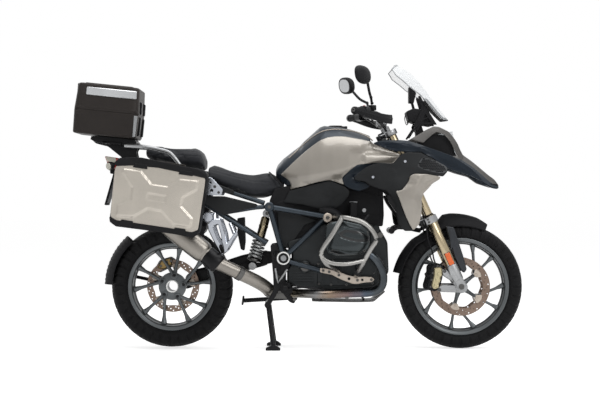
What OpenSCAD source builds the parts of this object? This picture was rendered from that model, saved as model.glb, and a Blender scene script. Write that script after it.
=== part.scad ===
// Adventure touring motorcycle with a flat twin engine, two side cases and a top case.
// +X is forward, +Y is the rider's left, +Z is up. The origin is on the floor under the middle of its length.

/* [Wheels] */
// Distance between the two axles
wheelbase = 1507; // [1495:1:1515]
// Outer radius of the front tyre
front_tyre_r = 325; // [322:1:327]
// Outer radius of the rear tyre
rear_tyre_r = 317; // [312:1:318]
// Half the width of the front tyre
front_tyre_half_w = 60; // [56:1:62]
// Half the width of the rear tyre
rear_tyre_half_w = 84; // [78:1:86]
// Height of the rear tyre above the floor while the centre stand carries the machine
rear_lift = 8; // [5:1:12]

/* [Steering] */
// Angle of the steering axis from the vertical, in degrees
rake = 24.5; // [24:0.25:25]
// How far the axle sits ahead of the steering axis
fork_offset = 44; // [42:1:46]
// Distance from the middle of the machine to each fork leg
leg_y = 105; // [103:1:107]
// Half the width across the grips
bar_half_w = 440; // [430:1:445]

/* [Luggage] */
// Length of a side case along the machine
case_l = 452; // [440:1:460]
// Height of a side case
case_h = 342; // [330:1:350]
// Distance from the middle of the machine to a side case's outer face
case_out_y = 480; // [475:1:485]
// Distance from the middle of the machine to a side case's inner face
case_in_y = 262; // [260:1:266]
// Width of the top case
top_case_w = 392; // [380:1:400]
// Wall thickness of all three cases
case_wall = 4; // [3.5:0.5:5]

/* [Hidden] */
$fn = 48;

front_axle = [848, 0, front_tyre_r];
rear_axle = [front_axle.x - wheelbase, 0, rear_tyre_r + rear_lift];

// The steering axis passes through steer_foot and leans back by the rake.
steer_foot = front_axle - fork_offset * [cos(rake), 0, sin(rake)];
fork_top = 880;       // distance up the steering axis to the upper yoke
lower_bridge = 385;   // distance up the steering axis to the lower fork bridge
pin_gap = 0.05;       // radial clearance of every turning pin

// Colours of the finishes
champagne = [0.62, 0.58, 0.52];
dark_blue = [0.07, 0.09, 0.12];
satin_black = [0.10, 0.10, 0.11];
rubber_black = [0.06, 0.06, 0.065];
bare_alloy = [0.72, 0.72, 0.72];
steel_grey = [0.55, 0.54, 0.52];
gold = [0.72, 0.60, 0.36];
wheel_grey = [0.30, 0.31, 0.32];

// ---------- shapes ----------
function unit(v) = v / norm(v);
function blend(a, b, t) = a + (b - a) * t;
function mirror_y(p) = [p.x, -p.y, p.z];
function signed_power(v, p) = sign(v) * pow(abs(v), p);

// A closed outline of a rectangle with round corners, from [0, 0] to [w, h].
function round_rect(w, h, r, n = 5) = [
    for (corner = [0:3], i = [0:n])
        let (a = 180 + 90 * corner + 90 * i / n,
            cx = corner == 0 || corner == 3 ? r : w - r,
            cy = corner < 2 ? r : h - r)
        [cx + r * cos(a), cy + r * sin(a)]
];

// A station of a long body: a rounded ring across the machine at x, from z0 to z1, half as wide as w0 at
// the bottom and w1 at the top. A squareness of 1 is an ellipse and a smaller one is boxier.
function station(x, z0, z1, w0, w1, squareness = 0.5, n = 16) = [
    for (i = [0:n - 1])
        let (a = 360 * i / n, s = signed_power(sin(a), squareness), c = signed_power(cos(a),
            squareness))
        [x, c * blend(w0, w1, (s + 1) / 2), blend(z0, z1, (s + 1) / 2)]
];

// A solid through rings that all have the same number of points, in either direction round.
module loft(rings) {
    n = len(rings[0]);
    m = len(rings);
    ones = [for (i = [1:n]) 1];
    ahead = ones * rings[1] - ones * rings[0];
    turn = ones * [for (i = [0:n - 1]) cross(rings[0][i], rings[0][(i + 1) % n])];
    faces = concat(
        [[for (i = [0:n - 1]) n - 1 - i]],
        [for (j = [0:m - 2], i = [0:n - 1])
            [j * n + i, j * n + (i + 1) % n, (j + 1) * n + (i + 1) % n, (j + 1) * n + i]],
        [[for (i = [0:n - 1]) (m - 1) * n + i]]);
    polyhedron(
        points = [for (ring = rings) each ring],
        faces = turn * ahead > 0 ? [for (f = faces) [for (i = [len(f) - 1:-1:0]) f[i]]] : faces);
}

// A curved panel between two edges with as many points each. It bulges outwards by bulge in the middle and
// is thick towards the middle of the machine. Its rows run from the lower edge to the upper one.
module panel(upper, lower, bulge = 10, thick = 4, rows = 5) {
    n = len(upper);
    function spot(i, j, inset) = blend(lower[i], upper[i], j / (rows - 1))
        + [0, bulge * sin(180 * j / (rows - 1)) - inset, 0];
    loft([for (i = [0:n - 1]) concat(
        [for (j = [0:rows - 1]) spot(i, j, 0)],
        [for (j = [0:rows - 1]) spot(i, rows - 1 - j, thick)])]);
}

// Whatever is given, and its mirror image on the machine's other side.
module both_sides() {
    children();
    mirror([0, 1, 0]) children();
}

// A side outline of [x, z] points made solid between two distances across the machine.
module slab(outline, y0, y1) {
    translate([0, y1, 0]) rotate([90, 0, 0]) linear_extrude(y1 - y0) polygon(outline);
}

// A round bar between two points.
module rod(a, b, r) {
    d = b - a;
    translate(a) rotate([0, acos(d.z / norm(d)), atan2(d.y, d.x)]) cylinder(h = norm(d), r = r);
}

// A path with each inner corner cut to a short curve that starts reach before the corner.
function eased(path, reach) = [
    for (i = [0:len(path) - 1])
        if (i == 0 || i == len(path) - 1) path[i]
        else
            let (back = path[i - 1] - path[i], on = path[i + 1] - path[i],
                a = path[i] + back * min(0.45, reach / norm(back)),
                b = path[i] + on * min(0.45, reach / norm(on)))
            each [a, blend(blend(a, path[i], 0.5), blend(path[i], b, 0.5), 0.5), b]
];

// A bent tube of constant radius along a path, mitred at each point of its eased corners.
module bent_tube(path, r, reach = 30, sides = 12) {
    line = eased(path, reach);
    last = len(line) - 1;
    way = [for (i = [0:last]) unit(i == 0 ? line[1] - line[0] : i == last ? line[last] - line[last - 1]
        : unit(line[i] - line[i - 1]) + unit(line[i + 1] - line[i]))];
    up = abs(unit(line[last] - line[0]).z) > 0.8 ? [0, 1, 0] : [0, 0, 1];
    loft([for (i = [0:last])
        let (side = unit(cross(way[i], up)), top = cross(side, way[i]))
        [for (k = [0:sides - 1]) line[i] + r * (cos(360 * k / sides) * side + sin(360 * k / sides) * top)]]);
}

// A bar across the machine, from y0 to y1.
module cross_bar(x, z, y0, y1, r) {
    translate([x, y1, z]) rotate([90, 0, 0]) cylinder(h = y1 - y0, r = r);
}

// Moves what is drawn about the steering axis to its place: local Z runs up that axis and local X forwards.
module in_steering() {
    translate(steer_foot) rotate([0, -rake, 0]) children();
}

// ---------- wheels ----------
function tyre_profile(outer, half_w, bead_r, bead_y) =
    let (deep = (outer - bead_r) * 0.5, mid = outer - deep)
    concat([for (i = [0:18])
        let (a = -122 + 244 * i / 18) [mid + deep * cos(a), half_w * signed_power(sin(a), 0.85)]],
    [[bead_r + 12, bead_y - 0.5], [bead_r, bead_y - 0.5], [bead_r, -bead_y + 0.5],
        [bead_r + 12, -bead_y + 0.5]]);

module tyre(axle, outer, half_w, bead_r, bead_y) {
    translate(axle) rotate([90, 0, 0])
        rotate_extrude($fn = 120) polygon(tyre_profile(outer, half_w, bead_r, bead_y));
}

function rim_profile(bead_r, bead_y) = let (r = bead_r - 0.2) [
    [r + 11, bead_y], [r + 12, bead_y + 4], [r + 6, bead_y + 6], [r - 8, bead_y + 3],
    [r - 16, bead_y * 0.55], [r - 21, 0], [r - 16, -bead_y * 0.55], [r - 8, -bead_y - 3],
    [r + 6, -bead_y - 6], [r + 12, -bead_y - 4], [r + 11, -bead_y], [r, -bead_y], [r, -bead_y + 12],
    [r - 11, -bead_y + 22], [r - 11, bead_y - 22], [r, bead_y - 12], [r, bead_y]];

// Ten spokes in five pairs, each pair leaving one corner of the hub.
module spokes(hub_r, rim_r, half_depth, spread, start) {
    for (k = [0:4], side = [-1, 1])
        rotate([0, 0, start + 72 * k])
            linear_extrude(2 * half_depth, center = true)
                polygon([[hub_r - 10, side * 2], [hub_r - 10, side * 20],
                    [rim_r * cos(spread), side * (rim_r * sin(spread) + 7)],
                    [rim_r * cos(spread) + 1, side * (rim_r * sin(spread) - 7)]]);
}

front_bead_r = 242;
rear_bead_r = 217;

module front_rim() {
    color(wheel_grey) translate(front_axle) rotate([90, 0, 0]) difference() {
        union() {
            rotate_extrude($fn = 120) polygon(rim_profile(front_bead_r, 40));
            spokes(44, front_bead_r - 18, 10, 15.5, 57.5);
            cylinder(h = 131, r = 36, center = true);
        }
        cylinder(h = 140, r = 12.5 + pin_gap, center = true);
    }
}

module rear_rim() {
    color(wheel_grey) translate(rear_axle) rotate([90, 0, 0]) difference() {
        union() {
            rotate_extrude($fn = 120) polygon(rim_profile(rear_bead_r, 60));
            translate([0, 0, 12]) spokes(62, rear_bead_r - 18, 11, 17, 96);
            translate([0, 0, -20]) cylinder(h = 48, r = 70);
            translate([0, 0, -126]) cylinder(h = 110, r = 44);
        }
        cylinder(h = 300, r = 26, center = true);
        for (k = [0:4]) rotate([0, 0, 81 + 72 * k]) translate([56, 0, 18]) cylinder(h = 12, r = 8);
    }
}

module front_tyre() {
    color(rubber_black) tyre(front_axle, front_tyre_r, front_tyre_half_w, front_bead_r, 40);
}

module rear_tyre() {
    color(rubber_black) tyre(rear_axle, rear_tyre_r, rear_tyre_half_w, rear_bead_r, 60);
}

// A drilled brake disc with its spider, lying flat around local Z.
module disc(outer, inner, spider_r, thick, arms) {
    difference() {
        union() {
            cylinder(h = thick, r = outer, center = true);
            cylinder(h = thick + 2, r = inner - 4, center = true);
        }
        difference() {
            cylinder(h = 2 * thick, r = inner, center = true);
            cylinder(h = 3 * thick, r = spider_r + 10, center = true);
            for (k = [0:arms - 1]) rotate([0, 0, 360 * k / arms])
                translate([0, -9, -2 * thick]) cube([inner + 2, 18, 4 * thick]);
        }
        cylinder(h = 3 * thick, r = spider_r, center = true);
        for (k = [0:11], i = [0:2]) rotate([0, 0, 30 * k + 7 * i])
            translate([blend(inner + 7, outer - 7, i / 2), 0, 0])
                cylinder(h = 2 * thick, r = 3.6, center = true, $fn = 24);
    }
}

module front_discs() {
    color(steel_grey) for (y = [-69, 69]) translate(front_axle + [0, y, 0]) rotate([90, 0, 0])
        disc(152, 112, 26, 5, 5);
}

module rear_disc() {
    color(steel_grey) translate(rear_axle + [0, 38, 0]) rotate([90, 0, 0]) disc(138, 104, 44.1, 5, 5);
}

module front_axle() {
    color(steel_grey) difference() {
        cross_bar(front_axle.x, front_axle.z, -leg_y - 24, leg_y + 24, 12.5);
        cross_bar(front_axle.x, front_axle.z, -leg_y - 30, leg_y + 30, 9);
    }
}

// ---------- steering ----------
module fork_leg() {
    x = fork_offset;
    y = leg_y;
    color(gold) {
        translate([x, y, lower_bridge - 30]) cylinder(h = fork_top - lower_bridge + 40, r = 20.5);
        translate([x, y, 118]) cylinder(h = lower_bridge + 20 - 118, r = 28);
    }
    color(bare_alloy) {
        translate([x, y, 40]) cylinder(h = 80, r = 29);
        difference() {
            union() {
                translate([x, y + 17, 0]) rotate([90, 0, 0]) cylinder(h = 34, r = 31);
                translate([x - 26, y - 16, 0]) cube([48, 32, 50]);
                translate([x - 96, y - 8, 6]) cube([80, 16, 22]);
            }
            translate([x, y + 30, 0]) rotate([90, 0, 0]) cylinder(h = 60, r = 12.5 + pin_gap);
        }
    }
}

module fork_legs() {
    in_steering() both_sides() fork_leg();
}

// The two bridges that clamp the legs, bored for the steering pins, and the handlebar's risers.
module fork_yokes() {
    color(bare_alloy) in_steering() {
        difference() {
            union() {
                for (side = [-1, 1]) translate([fork_offset, side * leg_y, lower_bridge - 20])
                    cylinder(h = 38, r = 35);
                translate([8, -leg_y, lower_bridge - 14]) cube([46, 2 * leg_y, 30]);
                translate([0, 0, lower_bridge - 14]) cylinder(h = 30, r = 30);
            }
            both_sides() translate([fork_offset, leg_y, lower_bridge - 40])
                cylinder(h = 80, r = 28 + pin_gap);
            translate([0, 0, lower_bridge - 40]) cylinder(h = 80, r = 14 + pin_gap);
        }
        difference() {
            union() {
                for (side = [-1, 1]) translate([fork_offset, side * leg_y, fork_top - 14])
                    cylinder(h = 28, r = 30);
                translate([14, -leg_y, fork_top - 11]) cube([46, 2 * leg_y, 22]);
                translate([0, 0, fork_top - 11]) cylinder(h = 22, r = 34);
                for (side = [-1, 1]) translate([8, side * 48 - 16, fork_top + 8]) cube([40, 32, 34]);
            }
            both_sides() translate([fork_offset, leg_y, fork_top - 40]) cylinder(h = 80,
                r = 20.5 + pin_gap);
            translate([0, 0, fork_top - 40]) cylinder(h = 80, r = 14 + pin_gap);
        }
    }
}

// Middle line of the bar, from its centre to the grip's end, on the left side.
bar_path = [[437, 0, 1192], [437, 62, 1192], [424, 150, 1212], [352, 270, 1230],
    [290, bar_half_w - 18, 1226]];
grip_from = [338, 300, 1229];

module handlebar() {
    color(satin_black) {
        bent_tube(concat([for (i = [4:-1:1]) mirror_y(bar_path[i])], [for (i = [1:4]) bar_path[i]]),
            14);
        both_sides() {
            rod(grip_from, bar_path[4], 18);
            rod([350, 276, 1230], [326, 324, 1229], 26);
            rod(bar_path[4], blend(bar_path[4], grip_from, -0.14), 20);
            // the lever and its perch
            bent_tube([[362, 262, 1226], [392, 290, 1222], [380, 340, 1220], [330, 412, 1216]], 6.5);
            rod([378, 244, 1236], [378, 244, 1262], 22);
            rod([378, 244, 1240], [356, 260, 1232], 10);
        }
    }
}

guard_path = [[274, 446, 1230, 14], [320, 452, 1216, 16], [372, 446, 1200, 20], [418, 420, 1188, 22],
    [452, 376, 1184, 24], [466, 322, 1186, 24], [460, 276, 1190, 20]];

// A hand protector: an upright band that runs ahead of the fingers, from the bar's end to its inner bracket.
module handguards() {
    color(satin_black) both_sides() loft([for (i = [0:len(guard_path) - 1])
        let (p = guard_path[i], before = guard_path[max(i - 1, 0)],
            after = guard_path[min(i + 1, len(guard_path) - 1)],
            out = unit([after.y - before.y, before.x - after.x]) * -1)
        [for (k = [[0, -0.5], [2.4, 0], [0, 0.5], [-2.6, 0.42], [-0.6, 0], [-2.6, -0.42]])
            [p.x + out.x * (k[0] + 12), p.y + out.y * (k[0] + 12), p.z + k[1] * 2 * p[3] - 6]]]);
}

right_mirror = [326, 398, 1408];
left_mirror = [266, 398, 1402];

module side_mirror(centre, elbow) {
    rod([378, 244, 1265], [372, 262, 1300], 6.5);
    rod([372, 262, 1300], elbow, 7);
    translate([372, 262, 1300]) sphere(7.8);
    translate(centre) rotate([0, 0, 25]) rotate([0, -6, 0]) loft([
        for (s = [[-16, 0.86], [-10, 1], [4, 0.97], [16, 0.82], [26, 0.5], [30, 0.2]])
            [for (i = [0:15])
                let (a = 360 * i / 16)
                [s[0], s[1] * 76 * signed_power(cos(a), 0.75),
                    s[1] * 46 * signed_power(sin(a), 0.8) + 6 * cos(a)]]]);
}

// The two mirrors are set apart, the left one further back.
module mirrors() {
    color(satin_black) {
        mirror([0, 1, 0]) side_mirror(right_mirror, [352, 330, 1372]);
        side_mirror(left_mirror, [296, 330, 1366]);
    }
}

// A sheet bent round a wheel, from one angle to another, with its own half width at each step.
module wheel_sheet(axle, r, from, to, steps, half_w, droop, thick, swell = [[0, 0], [360, 0]]) {
    function spot(i, j, inset) =
        let (t = i / steps, a = blend(from, to, t), across = -1 + 2 * j / 8,
            w = blend(half_w[0], half_w[1], sin(180 * t)),
            rr = r + lookup(a, swell) + inset - droop * across * across)
        axle + [rr * cos(a), w * across, rr * sin(a)];
    loft([for (i = [0:steps])
        concat([for (j = [0:8]) spot(i, 8 - j, thick)], [for (j = [0:8]) spot(i, j, 0)])]);
}

module front_mudguard() {
    color(satin_black) {
        wheel_sheet(front_axle, front_tyre_r + 24, 66, 168, 34, [44, 72], 28, 4,
            [[66, 3], [76, 18], [98, 34], [104, 34], [110, 6], [115, -9], [129, -9], [136, 0], [168, 6]]);
        both_sides() {
            slab([[766, 641], [808, 636], [850, 530], [876, 414], [862, 396], [842, 412], [802, 520]],
                84, 108);
            slab([[770, 640], [804, 636], [826, 580], [786, 580]], 66, 84.2);
        }
    }
}

// A calliper over each disc's rear edge, with a slot for the disc.
module front_calipers() {
    color(gold) both_sides() in_steering() difference() {
        translate([fork_offset - 164, 50, 36]) cube([78, 64, 128]);
        translate([fork_offset - 156, 60.4, 30]) cube([80, 17.2, 140]);
        translate([fork_offset - 100, 40, 30]) cube([30, 30, 140]);
    }
}

// ---------- engine and frame ----------
crank_outline = [[-60, 345], [-60, 425], [-36, 450], [-36, 505], [-60, 530], [-60, 560], [60, 600],
    [120, 660], [330, 668], [420, 640], [466, 560], [472, 400],
    [400, 318], [120, 304], [20, 318]];
gearbox_outline = [[-130, 380], [-130, 520], [-62, 556], [-62, 350], [-90, 350]];

module engine_block() {
    color(satin_black) {
        slab(crank_outline, -120, 120);
        slab(gearbox_outline, -88, 88);
        slab([[172, 470], [172, 642], [345, 642], [345, 470]], -196, 196);
        cross_bar(352, 430, -135, 135, 58);
    }
}

head_outline = [[136, 548], [150, 505], [196, 494], [304, 500], [352, 528], [362, 560], [356, 618],
    [322, 652],
    [232, 674], [166, 668], [138, 640]];
head_inner = [[158, 520], [200, 508], [300, 514], [338, 540], [344, 600], [316, 640], [232, 656],
    [172, 648], [156, 620]];

module cylinder_heads() {
    color(wheel_grey) both_sides() {
        slab(head_outline, 268, 378);
        slab(head_inner, 196.2, 268);
        hull() {
            slab(head_outline, 378, 379);
            slab([[180, 560], [196, 530], [292, 534], [322, 566], [314, 610], [236, 640], [184, 628]],
                400, 402);
        }
    }
}

guard_upper = [[186, 186, 690], [214, 390, 690], [246, 428, 688], [343, 430, 663], [402, 424, 582],
    [366, 422, 536], [330, 396, 468], [302, 262, 402], [297, 186, 386]];
guard_rear = [[222, 404, 689], [170, 430, 598], [106, 430, 514], [140, 400, 454], [204, 250, 418],
    [211, 186, 411]];
guard_floor = [[120, 418, 486], [166, 432, 458], [246, 434, 454], [336, 402, 474]];

module crash_bars() {
    color(bare_alloy) both_sides() {
        bent_tube(guard_upper, 12.5);
        bent_tube(guard_rear, 12.5);
        bent_tube(guard_floor, 10.5);
        slab([[112, 404], [112, 428], [150, 424], [216, 410], [300, 386], [396, 376], [396, 352],
            [300, 340],
            [232, 370]], 180, 187);
    }
}

pivot = [-76, 0, 477];
frame_knot = [-149, 0, 741];

module main_frame() {
    color(dark_blue) {
        both_sides() {
            out = [0, 150, 0];
            rod(frame_knot + out, [-76, 150, 486], 14);
            rod(frame_knot + out, [151, 147, 690], 14);
            rod(pivot + out, [150, 148, 691], 13);
            rod(pivot + out + [30, 0, -20], [122, 149, 412], 13);
            rod([150, 148, 691], [148, 120.4, 668], 12);
            rod([122, 149, 412], [122, 125, 419], 12);
            cross_bar(frame_knot.x, frame_knot.z, 128, 172, 25);
            slab([[-130, 390], [-150, 560], [-96, 560], [-40, 500], [-36, 440], [-80, 380], [-64, 300],
                [-10, 284], [2, 240], [-50, 234], [-104, 256], [-128, 216], [-140, 210], [-190, 222],
                [-186, 246], [-124, 300], [-128, 350]], 133, 147);
            cross_bar(pivot.x, pivot.z, 88.2, 186, 32);
        }
        cross_bar(frame_knot.x, frame_knot.z, -133, 133, 16);
        slab([[150, 676], [250, 684], [330, 790], [430, 925], [486, 1030], [470, 1075], [430, 1060],
            [360, 930], [250, 800], [170, 720]], -34, 34);
        in_steering() translate([0, 0, fork_top - 70]) cylinder(h = 50, r = 30);
        in_steering() translate([0, 0, fork_top - 60]) cylinder(h = 82, r = 14);
    }
}

module rear_subframe() {
    color(satin_black) both_sides() {
        bent_tube([[-160, 118, 552], [-340, 122, 664], [-500, 122, 770], [-820, 116, 900]], 12);
        bent_tube([[-176, 118, 741], [-222, 122, 738], [-409, 122, 706]], 11);
        bent_tube([[-176, 104, 760], [-480, 116, 860], [-820, 104, 930]], 12);
    }
}

// Braces between the rails, and the arms and plates that carry the side cases.
module case_carriers() {
    color(satin_black) {
        cross_bar(-820, 915, -91, 91, 10);
        cross_bar(-500, 770, -109.6, 109.6, 10);
        both_sides() {
            cross_bar(-560, 794, 134.6, 258, 8);
            cross_bar(-800, 884, 129.6, 258, 8);
        }
    }
    color(bare_alloy) both_sides()
        slab([[-448, 893], [-470, 893], [-475, 803], [-396, 800], [-386, 830], [-420, 868]], 167, 173);
}

// The air box over the engine, a half each side of the frame's spine, and the flap ahead of the rear tyre.
module inner_covers() {
    color(satin_black) {
        both_sides() slab([[-120, 760], [-120, 650], [-94, 574], [48, 612], [108, 684], [300, 690],
            [420, 700], [436, 800], [330, 826], [240, 834], [-10, 828], [-60, 784]], 38, 94);
        slab([[-318, 682], [-280, 688], [-276, 560], [-282, 512], [-300, 520], [-316, 600]], -60, 60);
    }
}

module swing_arm() {
    arm = [[-158, 434], [-158, 512], [-190, 510], [-300, 486], [-480, 426], [-560, 408], [-600, 372],
        [-600, 300], [-540, 318], [-460, 350], [-280, 398], [-190, 422]];
    color(satin_black) {
        difference() {
            union() {
                slab(arm, 100, 152);
                translate(rear_axle) rotate([-90, 0, 0]) translate([0, 0, 52]) cylinder(h = 96, r = 88);
                slab([[-112, 446], [-112, 508], [-200, 508], [-200, 428]], 90, 132.4);
            }
            translate(rear_axle) rotate([-90, 0, 0]) cylinder(h = 200, r = 44 + pin_gap);
        }
        // the rear calliper on its bracket
        slab([[-730, 392], [-756, 420], [-730, 462], [-668, 482], [-640, 462], [-648, 430], [-690,
            412]], 47, 52);
    }
    color(gold) slab([[-744, 420], [-716, 466], [-668, 476], [-660, 436], [-706, 410]], 4, 29);
}

module rear_shock() {
    top = [-164, 0, 706];
    foot = [-240, 0, 430];
    along = unit(foot - top);
    color(gold) rod(top + along * 22, top + along * 140, 23);
    color(bare_alloy) {
        rod(top + along * 140.2, foot - along * 22, 9);
        rod(top + along * 158, foot - along * 36, 37);
        cross_bar(top.x, top.z, -16, 16, 22);
        cross_bar(foot.x, foot.z, -16, 98, 20);
    }
}

// The arm that carries the lower fork bridge, hinged on the engine.
module fork_wishbone() {
    eye = steer_foot + (lower_bridge - 32) * [-sin(rake), 0, cos(rake)] - 26 * [cos(rake), 0,
        sin(rake)];
    color(satin_black) {
        both_sides() bent_tube([[476, 96, 612], [520, 92, 636], eye + [0, 14, 0]], 12);
        in_steering() translate([0, 0, lower_bridge - 36]) cylinder(h = 17, r = 22);
        in_steering() translate([0, 0, lower_bridge - 30]) cylinder(h = 52, r = 14);
        cross_bar(484, 617, -128, 128, 16);
    }
}

module exhaust_pipes() {
    color(steel_grey) {
        bent_tube([[348, -232, 512], [400, -232, 474], [440, -222, 400], [434, -206, 330],
            [390, -196, 300], [124, -190, 290], [60, -150, 290], [4, -96, 290], [-50, -84, 290]], 21);
        bent_tube([[348, 232, 512], [400, 232, 474], [440, 218, 400], [432, 196, 330],
            [384, 180, 296], [170, 150, 284], [20, 90, 284], [-60, 50, 290]], 21);
        slab([[-40, 262], [-40, 318], [-150, 330], [-184, 318], [-184, 286], [-150, 262]], -120, 84);
        bent_tube([[-146, -92, 304], [-192, -146, 346], [-300, -198, 400], [-424, -217, 459]], 35);
    }
}

module silencer() {
    color(steel_grey) {
        rod([-436, -216, 469], [-474, -211, 499], 47);
        rod([-474, -211, 499], [-690, -196, 668], 59);
        rod([-690, -196, 668], [-704, -195, 679], 46);
    }
}

module skid_plate() {
    color(bare_alloy) {
        slab([[70, 250], [390, 250], [452, 300], [446, 306], [386, 256], [70, 256]], -150, 150);
        both_sides() cross_bar(120, 262, 60, 90, 6);
        both_sides() cross_bar(340, 262, 60, 90, 6);
    }
}

// The rider's and passenger's footrests on their brackets, with the brake pedal and the gear lever.
module footrests() {
    color(satin_black) {
        both_sides() {
            slab([[-90, 300], [-90, 352], [-40, 352], [-24, 300], [-60, 280]], 153, 164);
            rod([-66, 164, 322], [-66, 262, 326], 13);
        }
        bent_tube([[-56, -171, 318], [20, -200, 330], [104, -228, 322], [126, -252, 320]], 6);
        bent_tube([[-56, 171, 318], [40, 178, 322], [112, 204, 326], [130, 240, 326]], 6);
    }
    color(bare_alloy) both_sides() {
        bent_tube([[-352, 150, 648], [-388, 176, 560], [-396, 180, 516]], 10);
        bent_tube([[-430, 150, 700], [-424, 176, 610], [-396, 180, 516]], 10);
        rod([-352, 142, 655], [-352, 150, 648], 9);
        rod([-430, 142, 707], [-430, 150, 700], 9);
        rod([-396, 180, 524], [-399, 250, 548], 11);
    }
}

// ---------- bodywork ----------
module fuel_tank() {
    color(champagne) {
        difference() {
            loft([
                station(-116, 924, 944, 56, 40, 0.6), station(-60, 888, 1002, 106, 64, 0.55),
            station(0, 846, 1060, 138, 78, 0.5), station(60, 852, 1104, 166, 84, 0.5),
            station(124, 872, 1160, 196, 84, 0.5), station(180, 884, 1166, 216, 86, 0.5),
            station(260, 902, 1152, 232, 90, 0.5), station(330, 936, 1128, 236, 92, 0.5),
            station(372, 966, 1098, 226, 90, 0.55)]);
            translate([cap_centre.x - 52, -52, cap_centre.z - 1]) cube([126, 104, 60]);
        }
        translate(cap_centre - [0, 0, 42]) cylinder(h = 41.5, r = 46);
        // the cap's hinge pin on its two ears
        for (y = [-25, 17]) translate(cap_centre + [50, y, -24]) cube([16, 8, 34]);
        translate(cap_centre + [58, 25, 4]) rotate([90, 0, 0]) cylinder(h = 50, r = 3);
    }
}

cap_centre = [196, 0, 1155];

module fuel_cap() {
    color(satin_black) translate(cap_centre) difference() {
        union() {
            cylinder(h = 12, r = 44);
            translate([36, -14, 0]) cube([22, 28, 10]);
        }
        translate([58, 20, 4]) rotate([90, 0, 0]) cylinder(h = 40, r = 3 + pin_gap);
    }
}

// The black panels: under the tank, beside the radiators and along the tail.
module side_panels() {
    color(satin_black) both_sides() {
        panel(
            [[-62, 130, 824], [20, 150, 836], [100, 172, 856], [160, 192, 868], [232, 214, 866]],
            [[-78, 118, 770], [20, 132, 750], [104, 150, 732], [170, 166, 728], [250, 196, 800]], 8);
        panel(
            [[292, 254, 962], [382, 262, 966], [494, 268, 976], [556, 266, 1012], [632, 256, 1018],
                [690, 232, 988], [768, 188, 936]],
            [[286, 254, 900], [346, 270, 836], [436, 284, 810], [530, 290, 830], [588, 280, 896],
                [664, 252, 902], [746, 202, 892]], 10);
        slab([[404, 806], [450, 818], [520, 700], [580, 628], [576, 616], [546, 616], [506, 655]],
            248, 262);
        panel(
            [[-900, 118, 960], [-780, 142, 952], [-640, 154, 920], [-480, 160, 852], [-320, 158, 808],
                [-214, 150, 780], [-182, 146, 768]],
            [[-880, 124, 917], [-780, 142, 904], [-640, 152, 848], [-480, 156, 780], [-400, 152, 736],
                [-260, 146, 742], [-184, 144, 752]], 4);
    }
}

module upper_cowls() {
    color(dark_blue) both_sides() panel(
        [[398, 158, 1088], [480, 168, 1092], [572, 172, 1085], [646, 160, 1064], [736, 136, 1012],
            [808, 116, 996]],
        [[410, 216, 1052], [476, 230, 1040], [556, 238, 1036], [632, 228, 1028], [700, 200, 996],
        [776, 150, 950]],
        12);
}

module radiator_shrouds() {
    color(champagne) both_sides() panel(
        [[730, 216, 888], [692, 246, 850], [660, 254, 808], [635, 262, 756], [626, 266, 700], [620,
            266, 652],
            [600, 266, 622]],
        [[592, 284, 892], [552, 292, 850], [528, 296, 812], [526, 296, 776], [546, 290, 720], [568,
        282, 665],
            [590, 270, 617]], 9);
}

module radiators() {
    color(satin_black) both_sides()
        slab([[452, 800], [560, 812], [596, 690], [576, 640], [540, 660], [470, 760]], 190, 240);
}

module beak() {
    color(champagne) loft([
        station(716, 966, 988, 92, 74, 0.6), station(800, 944, 990, 112, 84, 0.6),
        station(868, 910, 994, 112, 70, 0.6), station(926, 884, 964, 94, 54, 0.6),
        station(978, 862, 916, 70, 38, 0.6), station(1020, 848, 886, 50, 26, 0.6),
        station(1052, 838, 850, 18, 10, 0.6)]);
}

module headlight() {
    color(satin_black) loft([
        station(680, 1010, 1150, 96, 84, 0.5), station(760, 998, 1140, 118, 92, 0.5),
        station(800, 994, 1118, 114, 86, 0.5), station(826, 996, 1090, 100, 74, 0.5),
        station(842, 1000, 1060, 84, 60, 0.5)]);
}

module headlight_surround() {
    color(champagne) both_sides() panel(
        [[584, 168, 1104], [648, 158, 1136], [704, 146, 1160], [758, 132, 1146], [800, 118, 1112],
            [836, 104, 1062],
            [862, 92, 1004]],
        [[600, 186, 1090], [650, 178, 1096], [700, 168, 1116], [740, 156, 1112], [782, 142, 1072],
        [816, 128, 1030],
            [846, 122, 996]], 5);
}

// Half width of the windscreen at shares of its height.
screen_widths = [[0, 104], [0.24, 122], [0.4, 134], [0.54, 168], [0.74, 186], [0.87, 168], [0.96,
    112], [1, 58]];

module windscreen() {
    low = [790, 0, 1197];
    high = [523, 0, 1486];
    rows = 14;
    function spot(i, j, inset) =
        let (t = i / rows, across = -1 + 2 * j / 10, w = lookup(t, screen_widths),
            sweep = 0.0030 * pow(w * across, 2),
            p = blend(low, high, t) + [16, 0, 18] * sin(180 * pow(t, 1.8)))
        p + [-sweep - inset * 0.72, w * across, -inset * 0.69 - 0.04 * sweep];
    color([0.8, 0.85, 0.88, 0.5]) loft([for (i = [0:rows])
        concat([for (j = [0:10]) spot(i, 10 - j, 0)], [for (j = [0:10]) spot(i, j, 4)])]);
}

module instrument_panel() {
    color(satin_black) {
        slab([[560, 1238], [574, 1188], [600, 1176], [690, 1160], [716, 1172], [690, 1214], [640, 1250],
            [600, 1256]], -88, 88);
        both_sides() slab([[620, 1130], [640, 1168], [724, 1168], [660, 1268], [632, 1322], [620, 1318],
            [642, 1250], [596, 1160]], 92, 98);
        slab([[628, 1040], [606, 1176], [640, 1178], [676, 1080], [670, 1040]], -60, 60);
        // a cradle for a navigation unit, with its four screw holes
        difference() {
            slab([[578, 1284], [578, 1370], [590, 1370], [602, 1330], [602, 1284]], -46, 46);
            for (y = [-19, 19], z = [1312, 1342]) translate([560, y, z]) rotate([0, 90, 0])
                cylinder(h = 60, r = 2.25, $fn = 24);
        }
        both_sides() rod([596, 30, 1290], [610, 30, 1240], 5);
    }
}

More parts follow.
